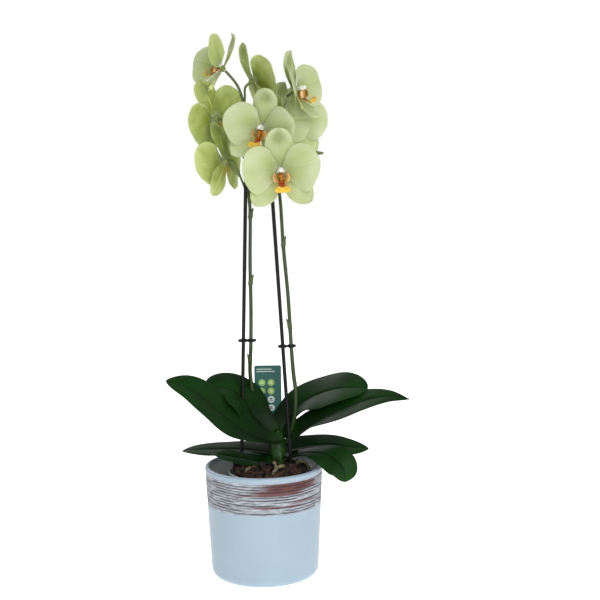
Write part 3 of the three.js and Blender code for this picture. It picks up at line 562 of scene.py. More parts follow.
def bark(sizes, material):
    """The potting bark: a filled body whose top is the heap with random lumps, and chips strewn on it, each
    a golden angle round from the last. A chip is a rounded box, the cosines and sines of a sphere raised
    to the power 0.45, stretched, roughened point by point and turned at random. Chips stay clear of the
    crown and the roots, and are pulled in to the heap's radius."""
    rng = np.random.default_rng(41)
    middle, radius = np.array([NURSERY_POT["x"], NURSERY_POT["y"]]), HEAP["radius"]
    skin = Skin("shade")
    angle = around(72)[None, :]
    bottom = np.array([[30, 0], [38, 0], [39, 2]])
    reach = np.concatenate([bottom[:, 0], [radius - 0.8], radius * np.linspace(1, 0.04, 22)])[:, None]
    x, y = middle[0] + reach * np.cos(angle), middle[1] + reach * np.sin(angle)
    z = heap_height(x, y) - 1.2 + rng.uniform(-1.2, 1.2, x.shape)
    z[:3] = HEAP["bottom"] + bottom[:, 1:]
    z[3] = HEAP["edge"] - 9
    skin.loops(np.stack([x, y, z], -1) * MM, shade=np.full(x.shape, 0.15))

    golden_angle, count = 2.39996, sizes.chips
    turn = np.arange(count) * golden_angle + rng.uniform(-0.4, 0.4, count)
    reach = (radius - 3.5) * np.sqrt((np.arange(count) + 0.5) / count)
    x, y = middle[0] + reach * np.cos(turn), middle[1] + reach * np.sin(turn)
    clear = ((x - CROWN["x"]) / 10) ** 2 + ((y - CROWN["y"]) / 8) ** 2 > 1
    for points in ROOTS:
        line = Path(points).at(np.linspace(0.25, 0.9, 20))
        clear &= np.hypot(x[:, None] - line[:, 0], y[:, None] - line[:, 1]).min(1) > 5.5
    x, y = x[clear], y[clear]
    count = len(x)
    length = rng.uniform(6, 15, count)
    size = np.stack([length, length * rng.uniform(0.45, 0.8, count), rng.uniform(2.2, 4.5, count)], -1) / 2
    rows, sides = 4, 8
    fall, turn = np.linspace(0.35, math.pi - 0.35, rows)[:, None], around(sides)[None, :]
    out, up, east, north = (bent(f, 0.45) for f in (np.sin(fall), np.cos(fall), np.cos(turn), np.sin(turn)))
    ball = np.stack(np.broadcast_arrays(out * east, out * north, up), -1)
    ball = np.vstack([ball.reshape(-1, 3), [[0, 0, 1], [0, 0, -1]]])
    rough = ball[None] * rng.uniform(0.78, 1.15, (count, len(ball), 1)) * size[:, None, :]
    tilt, spin = rng.normal(0, 0.42, (count, 2)), rng.uniform(0, 2 * math.pi, count)
    c, s = np.cos(spin)[:, None], np.sin(spin)[:, None]
    rough[..., 2] += rough[..., 0] * tilt[:, :1] + rough[..., 1] * tilt[:, 1:]
    placed = np.stack([
        rough[..., 0] * c - rough[..., 1] * s, rough[..., 0] * s + rough[..., 1] * c, rough[..., 2]], -1)
    placed += np.stack([x, y, heap_height(x, y) + rng.uniform(-0.6, 2.0, count)], -1)[:, None, :]
    away = placed[..., :2] - middle
    pull = np.minimum(1, radius / np.maximum(np.hypot(away[..., 0], away[..., 1]), 1e-6))
    placed[..., :2] = middle + away * pull[..., None]
    i, j = np.arange(rows - 1)[:, None] * sides, np.arange(sides)[None, :]
    k = (j + 1) % sides
    quads = np.stack([i + j, i + k, i + sides + k, i + sides + j], -1).reshape(-1, 4)
    last, top, foot = sides * (rows - 1), np.full(sides, rows * sides), np.full(sides, rows * sides + 1)
    caps = np.concatenate([np.stack([k[0], j[0], top], -1), np.stack([last + j[0], last + k[0], foot], -1)])
    offset = (np.arange(count) * len(ball))[:, None, None]
    faces = [(quads[None] + offset).reshape(-1, 4), (caps[None] + offset).reshape(-1, 3)]
    blank = [np.zeros((len(face), face.shape[1], 2)) for face in faces]
    shade = np.repeat(rng.uniform(0, 1, count), len(ball))
    skin.add(placed.reshape(-1, 3) * MM, faces, blank, shade=shade)
    return skin.make("potting_bark", ["bark"], material, flat=True)


def roots(sizes, material):
    """The roots: tubes along their arches, whose radius falls by a quarter and swells and shrinks a little
    along the way, on the knob under the crown."""
    skin = Skin("tip")
    for number, points in enumerate(ROOTS):
        def radius(share, phase=number * 1.7):
            return sizes.root_radius * (1 - 0.25 * share) * (1 + 0.09 * np.sin(23 * share + phase))
        skin.tube(Path(np.array(points) * MM), radius, sides=14, steps=50, tip=lambda share: share)
    low, high = 96, CROWN["bottom"] - GAP
    knob = np.array([[0, low], [5, low], [8, low + 3], [8, high - 2], [7, high], [0, high]])
    skin.turned(knob * MM, 24, centre=(CROWN["x"] * MM, CROWN["y"] * MM))
    return skin.make("aerial_roots", ["roots"], material)


def crown(material):
    """The crown: a spindle, flattened from front to back, whose radius steps in 0.4 mm at each old leaf's
    clasping edge. The edges are slanted rings: the height is shifted by a sine of the angle."""
    low, top = CROWN["bottom"], CROWN["top"]
    height = np.linspace(low, top, 60)
    share = np.interp(
        height, [low, 122, 136, 150, 160, top - 1.5, top], [0.72, 0.86, 1, 0.9, 0.68, 0.3, 0.02])
    profile = np.stack([share * CROWN["wide"], height], -1)
    profile = np.vstack([[[0, low]], profile, [[0, top + 0.01]]])

    def clasp(angle, level):
        edge = (level / MM - low + 4.5 * np.sin(angle + 0.6)) / 13
        step = edge - np.floor(edge)
        return -0.4 * MM * step * smooth(level / MM, low, low + 6) * (1 - smooth(level / MM, top - 12, top))

    skin = Skin()
    place = (CROWN["x"] * MM, CROWN["y"] * MM)
    skin.turned(profile * MM, 48, centre=place, depth=CROWN["deep"] / CROWN["wide"], wall=clasp)
    return skin.make("leafy_crown", ["crown"], material)


def leaf_outline(s, one):
    """Half the leaf's width as a share of its widest: from the sheath's share it opens by a smoothstep to 1
    where it is widest, then closes as the root of 1 - rest^2.2, sharper for a larger tip."""
    opening = one["sheath"] + (1 - one["sheath"]) * smooth(s, 0.02, one["widest"])
    rest = np.clip((s - one["widest"]) / (1 - one["widest"]), 0, 1)
    closing = np.maximum(0, 1 - rest ** 2.2) ** (0.5 * one["tip"])
    return np.where(s < one["widest"], opening, closing)


def leaf(name, number, sizes, material):
    """A leaf: its midrib is a spline, its halves rise from the midrib by the fold and droop with the square
    of the distance from it. A narrow bell sinks the midrib's channel, and slow sines wave the margins."""
    one = LEAVES[name]
    path = Path(np.array(one["midrib"]) * MM)
    u, v = grid(84, 37, 0.85)
    v = bent(v, 1.3)
    s = 1 - (1 - u) ** 1.5
    along = path.along(s[:, 0])
    face, face_end = unit(np.array([one["face"], one.get("face_end", one["face"])], float))
    across = unit(np.cross(along, face + (face_end - face) * smooth(s, 0.3, 0.9)))
    lift = unit(np.cross(across, along))
    width = np.maximum(1.2, one["half"] * leaf_outline(s, one)) * MM
    rise = np.radians(one["fold"][0] + (one["fold"][1] - one["fold"][0]) * smooth(s, 0, 0.6))
    long_wave = np.sin(2 * math.pi * (1.7 * s + 0.37 * number))
    side_wave = 0.7 * np.sign(v) * np.sin(2 * math.pi * (1.1 * s + 0.21 * number))
    wave = 0.03 * width * (long_wave + side_wave) * smooth(s, 0.1, 0.4)
    channel = -0.9 * MM * bell(v * width, 1.7 * MM) * (1 - smooth(s, 0.7, 1))
    raised = np.abs(v) * width * np.sin(rise) - 0.06 * width * v ** 2 + wave * v ** 2 + channel
    sideways = -v * width * np.cos(rise)
    middle = path.at(s[:, 0])[:, None] + sideways[..., None] * across[:, None]
    middle = middle + raised[..., None] * lift[:, None]
    edge = np.maximum(np.abs(v), smooth(s, 0.85, 1))
    skin = Skin("front", "along")
    skin.sheet(middle, sizes.leaf_thickness * (1 - 0.78 * edge ** 5), s * path.length, v * one["half"] * MM,
               along=s * np.ones_like(v))
    return skin.make("strap_" + name, [name], material)


def into_bloom(points, one):
    """Points in millimetres in the bloom's own frame, which faces -Y, as metres in the model's frame. They
    are scaled, then leaned about Y, nodded about X and turned about Z."""
    matrix = turn_about("z", one["turn"]) @ turn_about("x", -one["nod"]) @ turn_about("y", one["lean"])
    return (np.asarray(points, float) * MM * one["size"]) @ matrix.T + np.array(one["centre"]) * MM


def petal_relief(s, v):
    """Petals cup back towards their edges, crease along the middle, and swell forward half-way out."""
    crease = bell(v, 0.045) * smooth(s, 0.1, 0.4) * (1 - smooth(s, 0.8, 1))
    return -3.5 * v ** 2 * s - 0.9 * bell(v, 0.22) * s - 0.6 * crease + 2 * s * (1 - s)


def dorsal_relief(s, v):
    """The dorsal sepal hoods forward with the cube of the distance, and is dished near its tip."""
    dish = 1.6 * np.exp(-((s - 0.8) / 0.13) ** 2 - (v / 0.45) ** 2)
    return 7 * s ** 3 - 2.4 * v ** 2 * s - 0.5 * bell(v, 0.1) * s - dish


def lateral_relief(s, v):
    """The lateral sepals are folded along a keel and bend forward with the square of the distance."""
    return 2.6 * np.abs(v) * s + 2.5 * s ** 2 - 1.6 * v ** 2 * s


def fan_of(size, s, v, side, phases):
    """A petal's outline as x and z on its own plane. The direction turns with v, and the reach is s *
    length times the outline's share, a spline through its table, with two small sines that make each
    petal its own."""
    line = Path(size["outline"]).points
    own = 1 + 0.025 * np.sin(3.5 * v + phases[0]) + 0.015 * np.sin(8 * v + phases[1])
    reach = s * size["length"] * np.interp(v * side, line[:, 0], line[:, 1]) * own
    way = -math.radians(size["open"]) * v
    return reach * np.sin(way), reach * np.cos(way)


def blade_of(size, s, v, phases):
    """A sepal's outline as x and z on its own plane: v times half the width that leaf_outline(s) gives, a
    little fuller or leaner on each side."""
    own = 1 + 0.05 * np.sin(2.5 * s + 2 * np.sign(v) + phases[0])
    half = np.maximum(1, size["half"] * leaf_outline(s, size) * own)
    return -v * half, s * size["length"] * np.ones_like(v)


def tepal(skin, one, size, pose, set_back, relief, sizes, rng):
    """A petal or sepal on its outline. relief(s, v), two slow swells and a ruffle that grows to the margin
    stand it forward of its own plane; then it is twisted about Z, leaned about X, turned about Y and set
    back. Its values fade in bells from the hub: heart round it, blush below it, green along the base."""
    u, v = grid(38, 45, 0.85)
    v = bent(v, 1.3)
    is_fan = "open" in size
    s = 0.045 + 0.955 * (0.2 * u + 0.8 * np.sin(u * math.pi / 2))
    phases = rng.uniform(0, 2 * math.pi, 5)
    angle, lean, twist = pose
    side = 1 if angle > 0 else -1
    x, z = fan_of(size, s, v, side, phases) if is_fan else blade_of(size, s, v, phases)
    margin = np.maximum(np.abs(v) ** 3, s ** 5) * s
    ruffle = margin * sizes.ruffle / MM * (
        0.6 * np.sin(0.11 * x + phases[0]) + 0.6 * np.sin(0.19 * z + 2 * v + phases[1])
        + 0.35 * np.sin(0.34 * (x + z) + phases[2]))
    swell = s * (
        1.2 * np.sin(0.12 * z + phases[3]) * np.cos(2.2 * v + phases[4]) + 0.7 * np.sin(3.6 * v + phases[2]))
    local = np.stack([x, -(relief(s, v) + ruffle + swell * (1 - 0.4 * is_fan)), z], -1)
    turn = turn_about("y", angle) @ turn_about("x", lean) @ turn_about("z", twist)
    local = local @ turn.T + [0, set_back, 0]
    across, up = local[..., 0], local[..., 2]
    keel = bell(v, 0.08) * smooth(s, 0.1, 0.4) * (not is_fan)
    values = {
        "blush": np.exp(-((across / 10) ** 2 + ((up + 11) / 8) ** 2)),
        "heart": np.exp(-((across / 5.5) ** 2 + ((up - 0.5) / 5) ** 2)),
        "green": bell(s, 0.35) * np.ones_like(v),
        "pale": np.maximum(np.abs(v) ** 1.5 * s, s ** 2),
        "keel": np.maximum(keel, one.get("paleness", 0)),
    }
    if relief is dorsal_relief:
        # A greener, darker patch near the dorsal's tip is painted shade under its hood.
        tip = 1.3 * np.exp(-((s - 0.78) / 0.16) ** 2 - (v / 0.55) ** 2)
        values["green"] = np.maximum(values["green"], tip)
    skin.sheet(into_bloom(local, one), sizes.tepal_thickness * one["size"] * (1 - 0.7 * margin),
               s * size["length"] * MM, v * size["half"] * MM, **values)


def bloom_rod(skin, one, points, radius, sides, steps, **values):
    """A tube along points in the bloom's own frame. Its radius is in millimetres at the bloom's size."""
    path = Path(into_bloom(points, one))
    skin.tube(path, lambda share: MM * one["size"] * radius(share), sides, steps, **values)


def tepals(name, sizes, material):
    """The bloom's two petals, its three sepals and its hub."""
    one = BLOOMS[name]
    rng = np.random.default_rng(sum(map(ord, name)))
    skin = Skin("front", "blush", "heart", "green", "pale", "keel")
    right, left = one.get("right", PETAL_POSE), one.get("left", PETAL_POSE)
    low_right, low_left = one.get("right_lateral", LATERAL_POSE), one.get("left_lateral", LATERAL_POSE)
    for size, (angle, *rest), side, set_back, relief in (
            (PETAL, right, 1, -1.6, petal_relief), (PETAL, left, -1, -1.6, petal_relief),
            (DORSAL, DORSAL_POSE, 1, 1.6, dorsal_relief),
            (LATERAL, low_right, 1, 1.6, lateral_relief), (LATERAL, low_left, -1, 1.6, lateral_relief)):
        tepal(skin, one, size, (side * angle, *rest), set_back, relief, sizes, rng)
    bloom_rod(skin, one, [[0, 5, -0.5], [0, 1, 0], [0, -3.2, 0]],
              lambda share: 2.2 + 2.3 * np.sin(math.pi * share), 16, 16, front=0.6, green=1.0)
    return skin.make(f"{name}_open_tepals", [f"{name}_tepals"], material)


def lip(name, material):
    """The lip. Its tongue follows a spline: its half width grows to 3.2, steps up to 8.6 at the bar across
    its end and tapers there. The callus is a tapering tube with two horns, two whiskers curl from the
    tip, and the side lobes are cupped blades that stand up beside the column, turned half way to the
    front."""
    one = {**BLOOMS[name], "size": BLOOMS[name]["size"] * BLOOMS[name].get("lip", 1)}
    skin = Skin("front", "zone", "along")

    def blade(rows, columns, crowding, shape, thickness, zone):
        """A blade whose middle is shape(u, v), thinner at its edges by 0.6 or 0.8 mm times v^4."""
        u, v = grid(rows, columns, crowding)
        thick = thickness[0] - thickness[1] * np.abs(v) ** 4 * np.ones_like(u)
        skin.sheet(into_bloom(shape(u, v), one), MM * one["size"] * thick, u, v,
                   zone=zone, along=u * np.ones_like(v))

    def tongue(u, v):
        half = (3.2 * smooth(u, -0.1, 0.25) + 5.4 * smooth(u, 0.66, 0.8)) * (1 - 0.4 * smooth(u, 0.87, 1))
        trough = -1.6 * v ** 2 * np.cos(2.2 * u) - 0.7 * bell(v, 0.25) * u
        shift = np.stack([v * half, 0.6 * np.cos(v * math.pi) * u, trough], -1)
        return Path(LIP["tongue"]).at(u[:, 0])[:, None] + shift

    blade(34, 17, 0.5, tongue, (1.3, 0.8), 0.0)
    bloom_rod(skin, one, LIP["callus"], lambda share: (3.0 - 0.8 * share) * np.sqrt(1 - 0.9 * share ** 6),
              16, 20, zone=1.0, front=1.0, along=lambda share: share)
    for side in (1, -1):
        horn, whisker, line = (np.array(LIP[key]) * [side, 1, 1] for key in ("horn", "whisker", "lobe"))

        def lobe(u, v):
            half = 1.6 + 2.6 * np.sin(math.pi * (0.15 + 0.75 * u))
            cup = 1.1 * v ** 2 * np.sin(math.pi * u)
            across = (v * half)[..., None] * [0.6, side * 0.8, 0]
            return Path(line).at(u[:, 0])[:, None] + across - cup[..., None] * [0.8 * side, 0.3, 0]

        bloom_rod(skin, one, horn, lambda share: 1.1 - 0.8 * share, 10, 12,
                  zone=1.0, front=1.0, along=lambda share: 0.4 + 0.6 * share)
        bloom_rod(skin, one, whisker, lambda share: 0.45 - 0.3 * share, 8, 24,
                  zone=0.0, front=1.0, along=0.75)
        blade(24, 13, 0.4, lobe, (1.0, 0.6), 0.5)
    return skin.make(f"{name}_waxy_lip", [f"{name}_lip"], material)


def column(name, material):
    """The column: a tube that swells by a sine and closes at its end by a root, under its rounded anther cap,
    and a wing on each side."""
    one = BLOOMS[name]
    skin = Skin("along")
    bloom_rod(skin, one, COLUMN["stalk"], lambda share: (2.2 + 0.9 * np.sin(math.pi * (0.15 + 0.75 * share)))
              * np.sqrt(np.clip(1.02 - share ** 8, 0.02, 1)), 20, 30, along=lambda share: share)
    bloom_rod(skin, one, COLUMN["cap"],
              lambda share: 0.4 + 2.0 * np.sin(math.pi * np.clip(share, 0, 0.97)), 18, 18, along=1.0)
    for side in (1, -1):
        bloom_rod(skin, one, np.array(COLUMN["wing"]) * [side, 1, 1],
                  lambda share: 0.3 + 1.1 * np.sin(math.pi * share), 10, 16, along=0.6)
    return skin.make(f"{name}_white_column", [f"{name}_column"], material)


def behind(one):
    """The two points by which a pedicel comes up behind a bloom's hub."""
    return into_bloom([[0, 12, -3], [0, 5.4 + GAP, -0.8]], one)


def stem_path(name):
    """A spike's stem: the spline through its points and up behind its last bloom."""
    spike = SPIKES[name]
    return Path(np.vstack([np.array(spike["stem"]) * MM, behind(BLOOMS[spike["last"]])]))


def spike(name, material):
    """A flower spike. The stem's radius falls evenly and swells in a bell at each bract; a pedicel is a tube
    that thickens to its bloom; a bract is a blade wrapped round the stem, drawn to a point."""
    one = SPIKES[name]
    path = stem_path(name)
    skin = Skin("front", "young")
    joints = [share for share, _ in one["bracts"]] + list(one["blooms"].values())

    def radius(share):
        swell = sum(0.45 * bell(share - joint, 0.008) for joint in joints)
        return MM * (STEM["foot"] + (STEM["tip"] - STEM["foot"]) * share + swell)

    skin.tube(path, radius, sides=16, steps=260, young=lambda share: 0.55 * smooth(share, 0.1, 0.9))
    for bloom, share in one["blooms"].items():
        start = path.at(share)
        approach, end = behind(BLOOMS[bloom])
        halfway = start + (approach - start) * 0.55 + [0, 0, 2 * MM]
        skin.tube(Path([start, halfway, approach, end]),
                  lambda along: MM * (STEM["pedicel"] - 0.1 + 0.5 * along ** 3),
                  sides=12, steps=36, young=lambda along: 0.5 + 0.5 * along)
    for share, side in one["bracts"]:
        along = path.along(share)
        out = unit(np.array([side, -0.4, 0.0]))
        across = unit(np.cross(along, out))
        u, v = grid(18, 13, 0.3)
        rise, wrap = u[..., None], (2.4 * v * (1 - 0.75 * u))[..., None]
        centre = path.at(share) + along * (11 * MM * rise - 1 * MM)
        reach = MM * (2.75 + 1.6 * rise ** 2)
        blade = centre + reach * (np.cos(wrap) * out + np.sin(wrap) * across * (1 - rise ** 3))
        skin.sheet(blade, 0.6 * MM, u, v, young=0.42)
    if name == SMALL_BUD["spike"]:
        points = np.vstack([path.at(SMALL_BUD["share"]), np.array(SMALL_BUD["path"]) * MM])
        skin.tube(Path(points), lambda share: MM * (1.1 + 1.9 * smooth(share, 0.6, 0.8))
                  * np.sqrt(np.clip(1.01 - share ** 9, 0.01, 1)), sides=16, steps=60,
                  young=lambda share: 0.5 + 0.3 * share)
    return skin.make(f"{name}_stem", [name], material)


def stake_path(name):
    """A stake's straight line, from its foot in the bark to its top."""
    ends = np.array([STAKES[name]["foot"], STAKES[name]["top"]]) * MM
    return Path([ends[0], ends.mean(0), ends[1]])


def stake(name, material):
    """A stake: a straight rod with rounded ends."""
    skin = Skin()
    skin.tube(stake_path(name), lambda share: STAKE_RADIUS * MM * np.sqrt(
        np.clip(1.004 - (2 * share - 1) ** 400, 0.004, 1)), sides=20, steps=90)
    return skin.make(f"{name}_rod", [name], material)


def clip(name, material):
    """A butterfly clip: two rings of rounded section round the stake and the stem, a rounded bar between them
    and a thumb tab on each end. A section is a superellipse of power 4."""
    side, height = CLIPS[name]["side"], CLIPS[name]["height"] * MM
    held = []
    for path in (stake_path(f"{side}_stake"), stem_path(f"{side}_spike")):
        held.append(path.points[np.argmin(np.abs(path.points[:, 2] - height))][:2])
    middle, apart = (held[0] + held[1]) / 2, np.linalg.norm(held[1] - held[0])
    heading = (held[1] - held[0]) / apart
    skin = Skin()
    wide, high = (bent(f(around(16)[None, :]), 0.5) for f in (np.cos, np.sin))
    inner, outer = (STEM["foot"] + GAP) * MM, CLIP["ring"] * MM

    def bar(along, half_width, half_height):
        """A rounded bar, by the distances along the clip from its middle."""
        sideways = wide * half_width
        skin.loops(np.stack([middle[0] + along * heading[0] - sideways * heading[1],
                             middle[1] + along * heading[1] + sideways * heading[0],
                             height + high * half_height + 0 * along], -1))

    for centre in held:
        turn = around(40)[:, None]
        radius = (inner + outer) / 2 + wide * (outer - inner) / 2
        level = height + high * CLIP["height"] * MM / 2 + 0 * turn
        ring = np.stack([centre[0] + radius * np.cos(turn), centre[1] + radius * np.sin(turn), level], -1)
        skin.loops(ring, ends=())
    share = np.linspace(0, 1, 14)[:, None]
    start, end = apart / 2 + outer * 0.8, CLIP["length"] * MM / 2
    grow = np.sqrt(np.clip(1.01 - share ** 8, 0.01, 1)) * CLIP["bar"] / 2 * MM
    for sign in (1, -1):
        bar(sign * (start + (end - start) * share), grow * 0.75, grow)
    if apart / 2 > inner:
        bar(np.linspace(inner - apart / 2, apart / 2 - inner, 4)[:, None], 1.2 * MM, 1.4 * MM)
    return skin.make(f"{name}_plastic", [name], material)


def care_card(material):
    """The care label's card: flat, its half width set by the height, with rounded top corners, a taper and a
    pointed stem."""
    half, stem, foot, top = LABEL["width"] / 2, LABEL["stem"] / 2, LABEL["foot"], LABEL["top"]
    radius, point = 2.0, foot + 6
    card_foot = top - LABEL["card"]
    taper_foot = card_foot - LABEL["taper"]
    heights = np.concatenate([
        [foot, point, taper_foot - 0.5, taper_foot + 0.5, card_foot - 0.5, card_foot + 0.5],
        np.linspace(card_foot + 5, top - radius - 1, 6),
        top - radius + radius * np.sin(np.linspace(0, math.pi / 2, 9))])
    width = np.interp(heights, [foot, point, taper_foot, card_foot, top], [0.5, stem, stem, half, half])
    width -= radius - np.sqrt(np.maximum(0, radius ** 2 - np.maximum(0, heights - top + radius) ** 2))
    v = -grid(2, 9)[1]
    flat = np.stack([LABEL["x"] + v * width[:, None], np.full((len(heights), 9), LABEL["y"]),
                     heights[:, None] * np.ones_like(v)], -1)
    skin = Skin("front")
    skin.sheet(flat * MM, LABEL["thick"] * MM, heights[:, None] * MM, v * half * MM)
    return skin.make("care_card", ["care_label"], material, flat=True)


def care_print(material):
    """The label's print: thin discs and bars, a hair proud of the card's front."""
    front = LABEL["y"] - LABEL["thick"] / 2
    ink = Skin("tone")
    turn = around(36)

    def patch(xs, zs, tone, proud=SPOT["proud"]):
        """A flat patch: its outline in the card and again a hair in front of it, both closed from their
        middles."""
        rings = [np.stack([xs, np.full(len(xs), y), zs], -1) for y in (front + 0.1, front - proud)]
        ink.loops(np.array(rings) * MM, tone=tone)

    def bar(left, right, z, thick, **ink_of):
        low, high = z - thick / 2, z + thick / 2
        patch([left, right, right, left], [low, low, high, high], **ink_of)

    for row in range(4):
        for x in SPOT["columns"]:
            z = SPOT["top_row"] - row * SPOT["row_step"]
            white = x == SPOT["columns"][1] and row >= 2
            patch(x + SPOT["radius"] * np.cos(turn), z + SPOT["radius"] * np.sin(turn), 1.0 if white else 0.5)
            mark = {"tone": 0.2 if white else 0.75, "proud": SPOT["proud"] * 1.6}
            bar(x - 2.4, x + 2.4, z - 1.2, 0.9, **mark)
            bar(x - 1.5, x + 1.5, z + 0.9, 1.6, **mark)
    for left, right, z, thick in ((-8.3, 9.8, 232.6, 0.9), (-8.3, 13.2, 229.8, 0.9), (2.6, 4.4, 171, 6.5)):
        bar(left, right, z, thick, tone=1.0)
    return ink.make("care_card_print", [], material, flat=True)


# ---- materials ----
MIX_A, MIX_B, MIXED = 6, 7, 2  # the colour sockets of a Mix node: its two inputs and its result
WAVE = 0.314  # metres from band to band of a wave texture of scale 1
# Settings of a Math node.
MULTIPLY, MULTIPLY_ADD, MAXIMUM = ({"operation": name} for name in ("MULTIPLY", "MULTIPLY_ADD", "MAXIMUM"))


def add(tree, kind, sockets=None, out=0, stops=(), **settings):
    """Adds a shader node with its settings and links, and gives one of its outputs. sockets gives inputs,
    by name or number, a value or a feeding output; a colour gets full alpha. stops are the places and
    colours of a ramp."""
    node = tree.nodes.new("ShaderNode" + kind)
    for name, value in settings.items():
        setattr(node, name, value)
    for name, value in (sockets or {}).items():
        if isinstance(value, bpy.types.NodeSocket):
            tree.links.new(value, node.inputs[name])
        else:
            is_colour = node.inputs[name].type == "RGBA"
            node.inputs[name].default_value = [*value[:3], 1.0] if is_colour else value
    for number, (position, colour) in enumerate(stops):
        elements = node.color_ramp.elements
        stop = elements[number] if number < 2 else elements.new(position)
        stop.position, stop.color = position, [*colour[:3], 1.0]
    return node.outputs[out] if node.outputs else None


def opened(name, *sources):
    """A new node material, emptied, its tree, and an output for each source: place is the object's own
    coordinates, uv its map, in metres on all but the lips, and any other name a value of its points."""
    material = bpy.data.materials.new(name)
    material.use_nodes = True
    tree = material.node_tree
    tree.nodes.clear()
    kinds = {"place": ("TexCoord", "Object", {}), "uv": ("UVMap", "UV", {"uv_map": "UVMap"})}
    outputs = []
    for source in sources:
        kind, out, settings = kinds.get(source, ("Attribute", "Fac", {"attribute_name": source}))
        outputs.append(add(tree, kind, out=out, **settings))
    return material, tree, *outputs


def layered(tree, face, *layers):
    """A colour with others laid over it in turn. A layer is a value and a colour, and the levels that map
    the value to the layer's strength, where it isn't the strength itself: from low, from high, to low,
    to high."""
    for value, colour, *levels in layers:
        if levels:
            levels = dict(zip(("From Min", "From Max", "To Min", "To Max"), levels))
            value = add(tree, "MapRange", {"Value": value, **levels})
        face = add(tree, "Mix", {0: value, MIX_A: face, MIX_B: colour}, MIXED, data_type="RGBA")
    return face


def finished(material, face, sockets, relief=None, through=0.0):
    """The material with its surface: a colour, other sockets of its shader, a relief, which is a value, its
    strength and its depth in metres, and the share of light that passes through."""
    tree = material.node_tree
    if relief:
        bump = add(tree, "Bump", dict(zip(("Height", "Strength", "Distance"), relief)))
        sockets = {**sockets, "Normal": bump}
    surface = add(tree, "BsdfPrincipled", {"Base Color": face, **sockets})
    if through:
        glow = add(tree, "BsdfTranslucent", {"Color": face, "Normal": bump})
        surface = add(tree, "MixShader", {0: through, 1: surface, 2: glow})
    add(tree, "OutputMaterial", {"Surface": surface})
    return material


def petal_tissue(colours):
    """Orchid tepals, a thin waxy living tissue: soft pale yellow-green that lets light through, paler to the
    margins and at the heart, with faint veins, a greener base, painted shade in the dorsal sepal's hood, and
    olive backs deepened in their middles with painted shade."""
    material, tree, place, uv, front, green, blush, heart, pale, keel = opened(
        "petal_tissue", "place", "uv", "front", "green", "blush", "heart", "pale", "keel")
    # Veins 2.2 mm apart, which noise bends over about 14 mm.
    veins = add(tree, "TexWave", {"Vector": uv, "Scale": WAVE / 0.0022, "Distortion": 3.0, "Detail": 2.0,
                                  "Detail Scale": 0.5}, "Fac", bands_direction="Y")
    cloud = add(tree, "TexNoise", {"Vector": place, "Scale": 1 / 0.016, "Detail": 3.0})
    cloudy = add(tree, "Math", {0: pale, 1: 0.55, 2: cloud}, **MULTIPLY_ADD)
    cloudy = add(tree, "MapRange", {"Value": cloudy, "From Min": 0.42, "From Max": 1.1})
    light = add(tree, "Math", {0: cloudy, 1: front}, **MULTIPLY)
    rim = add(tree, "Math", {0: cloudy, 1: keel}, **MAXIMUM)
    # The backs are olive deepened with painted shade in their middles; the cloudy margins, the sepals' keels
    # and each bloom's paleness lay the pale back colour over it.
    back = layered(tree, colours.petal_back_olive_and_shade, (rim, colours.petal_back))
    # The green layer is the base's own green, and on the dorsal also painted shade under its hood.
    face = layered(
        tree, back, (front, colours.petal), (light, colours.petal_light),
        (veins, colours.petal_green, 0.6, 1.0, 0, 0.035), (green, colours.petal_green, 0, 1, 0, 0.6),
        (blush, colours.lip_yellow, 0.15, 1, 0, 0.4), (heart, colours.column))
    cells = add(tree, "TexNoise", {"Vector": place, "Scale": 1 / 0.0012, "Detail": 2.0})
    return finished(material, face, {"Roughness": 0.55, "Specular IOR Level": 0.3},
                    (cells, 0.12, 0.0004), 0.36)


def lip_tissue(colours):
    """The lip, a thick glossy waxy tissue: red-orange throat, a bar of egg yellow across the tongue's end,
    pale side lobes with orange-brown stripes."""
    material, tree, place, uv, zone, along = opened("waxy_lip_tissue", "place", "uv", "zone", "along")
    speck = add(tree, "TexNoise", {"Vector": place, "Scale": 1 / 0.0012, "Detail": 3.0})
    tongue = add(tree, "ValToRGB", {"Fac": along}, stops=[
        (0.0, colours.lip_white), (0.08, colours.lip_amber), (0.2, colours.lip_red), (0.5, colours.lip_red),
        (0.6, colours.lip_yellow), (0.94, colours.lip_yellow), (1.0, colours.lip_amber)])
    # The side lobes' rims are amber and their hollows white, with stripes that run along them 1.5 mm apart.
    across = add(tree, "SeparateXYZ", {"Vector": uv}, "Y")
    rim = add(tree, "Math", {0: across}, operation="ABSOLUTE")
    stripes = add(tree, "TexWave", {"Vector": uv, "Scale": 0.9, "Distortion": 2.0, "Detail Scale": 3.0},
                  "Fac", bands_direction="Y")
    striped = add(tree, "Math", {0: stripes, 1: 0.35, 2: rim}, **MULTIPLY_ADD)
    lobe = layered(tree, colours.lip_white, (striped, colours.lip_amber, 0.18, 0.65))
    callus = layered(tree, colours.lip_amber, (speck, colours.lip_red, 0.5, 0.62))
    face = layered(tree, tongue, (zone, lobe, 0, 0.5), (zone, callus, 0.5))
    return finished(material, face, {"Roughness": 0.34, "Coat Weight": 0.2}, (speck, 0.2, 0.0003))


def column_tissue(colours):
    """The column, a firm waxy tissue: ivory with a faint green base and a white cap."""
    material, tree, place, along = opened("ivory_column_tissue", "place", "along")
    grain = add(tree, "TexNoise", {"Vector": place, "Scale": 1 / 0.0015, "Detail": 2.0})
    face = layered(tree, colours.petal_light, (along, colours.column, 0.1, 0.6))
    return finished(material, face, {"Roughness": 0.38, "Subsurface Weight": 0.15, "Subsurface Scale": 0.002},
                    (grain, 0.15, 0.0003))


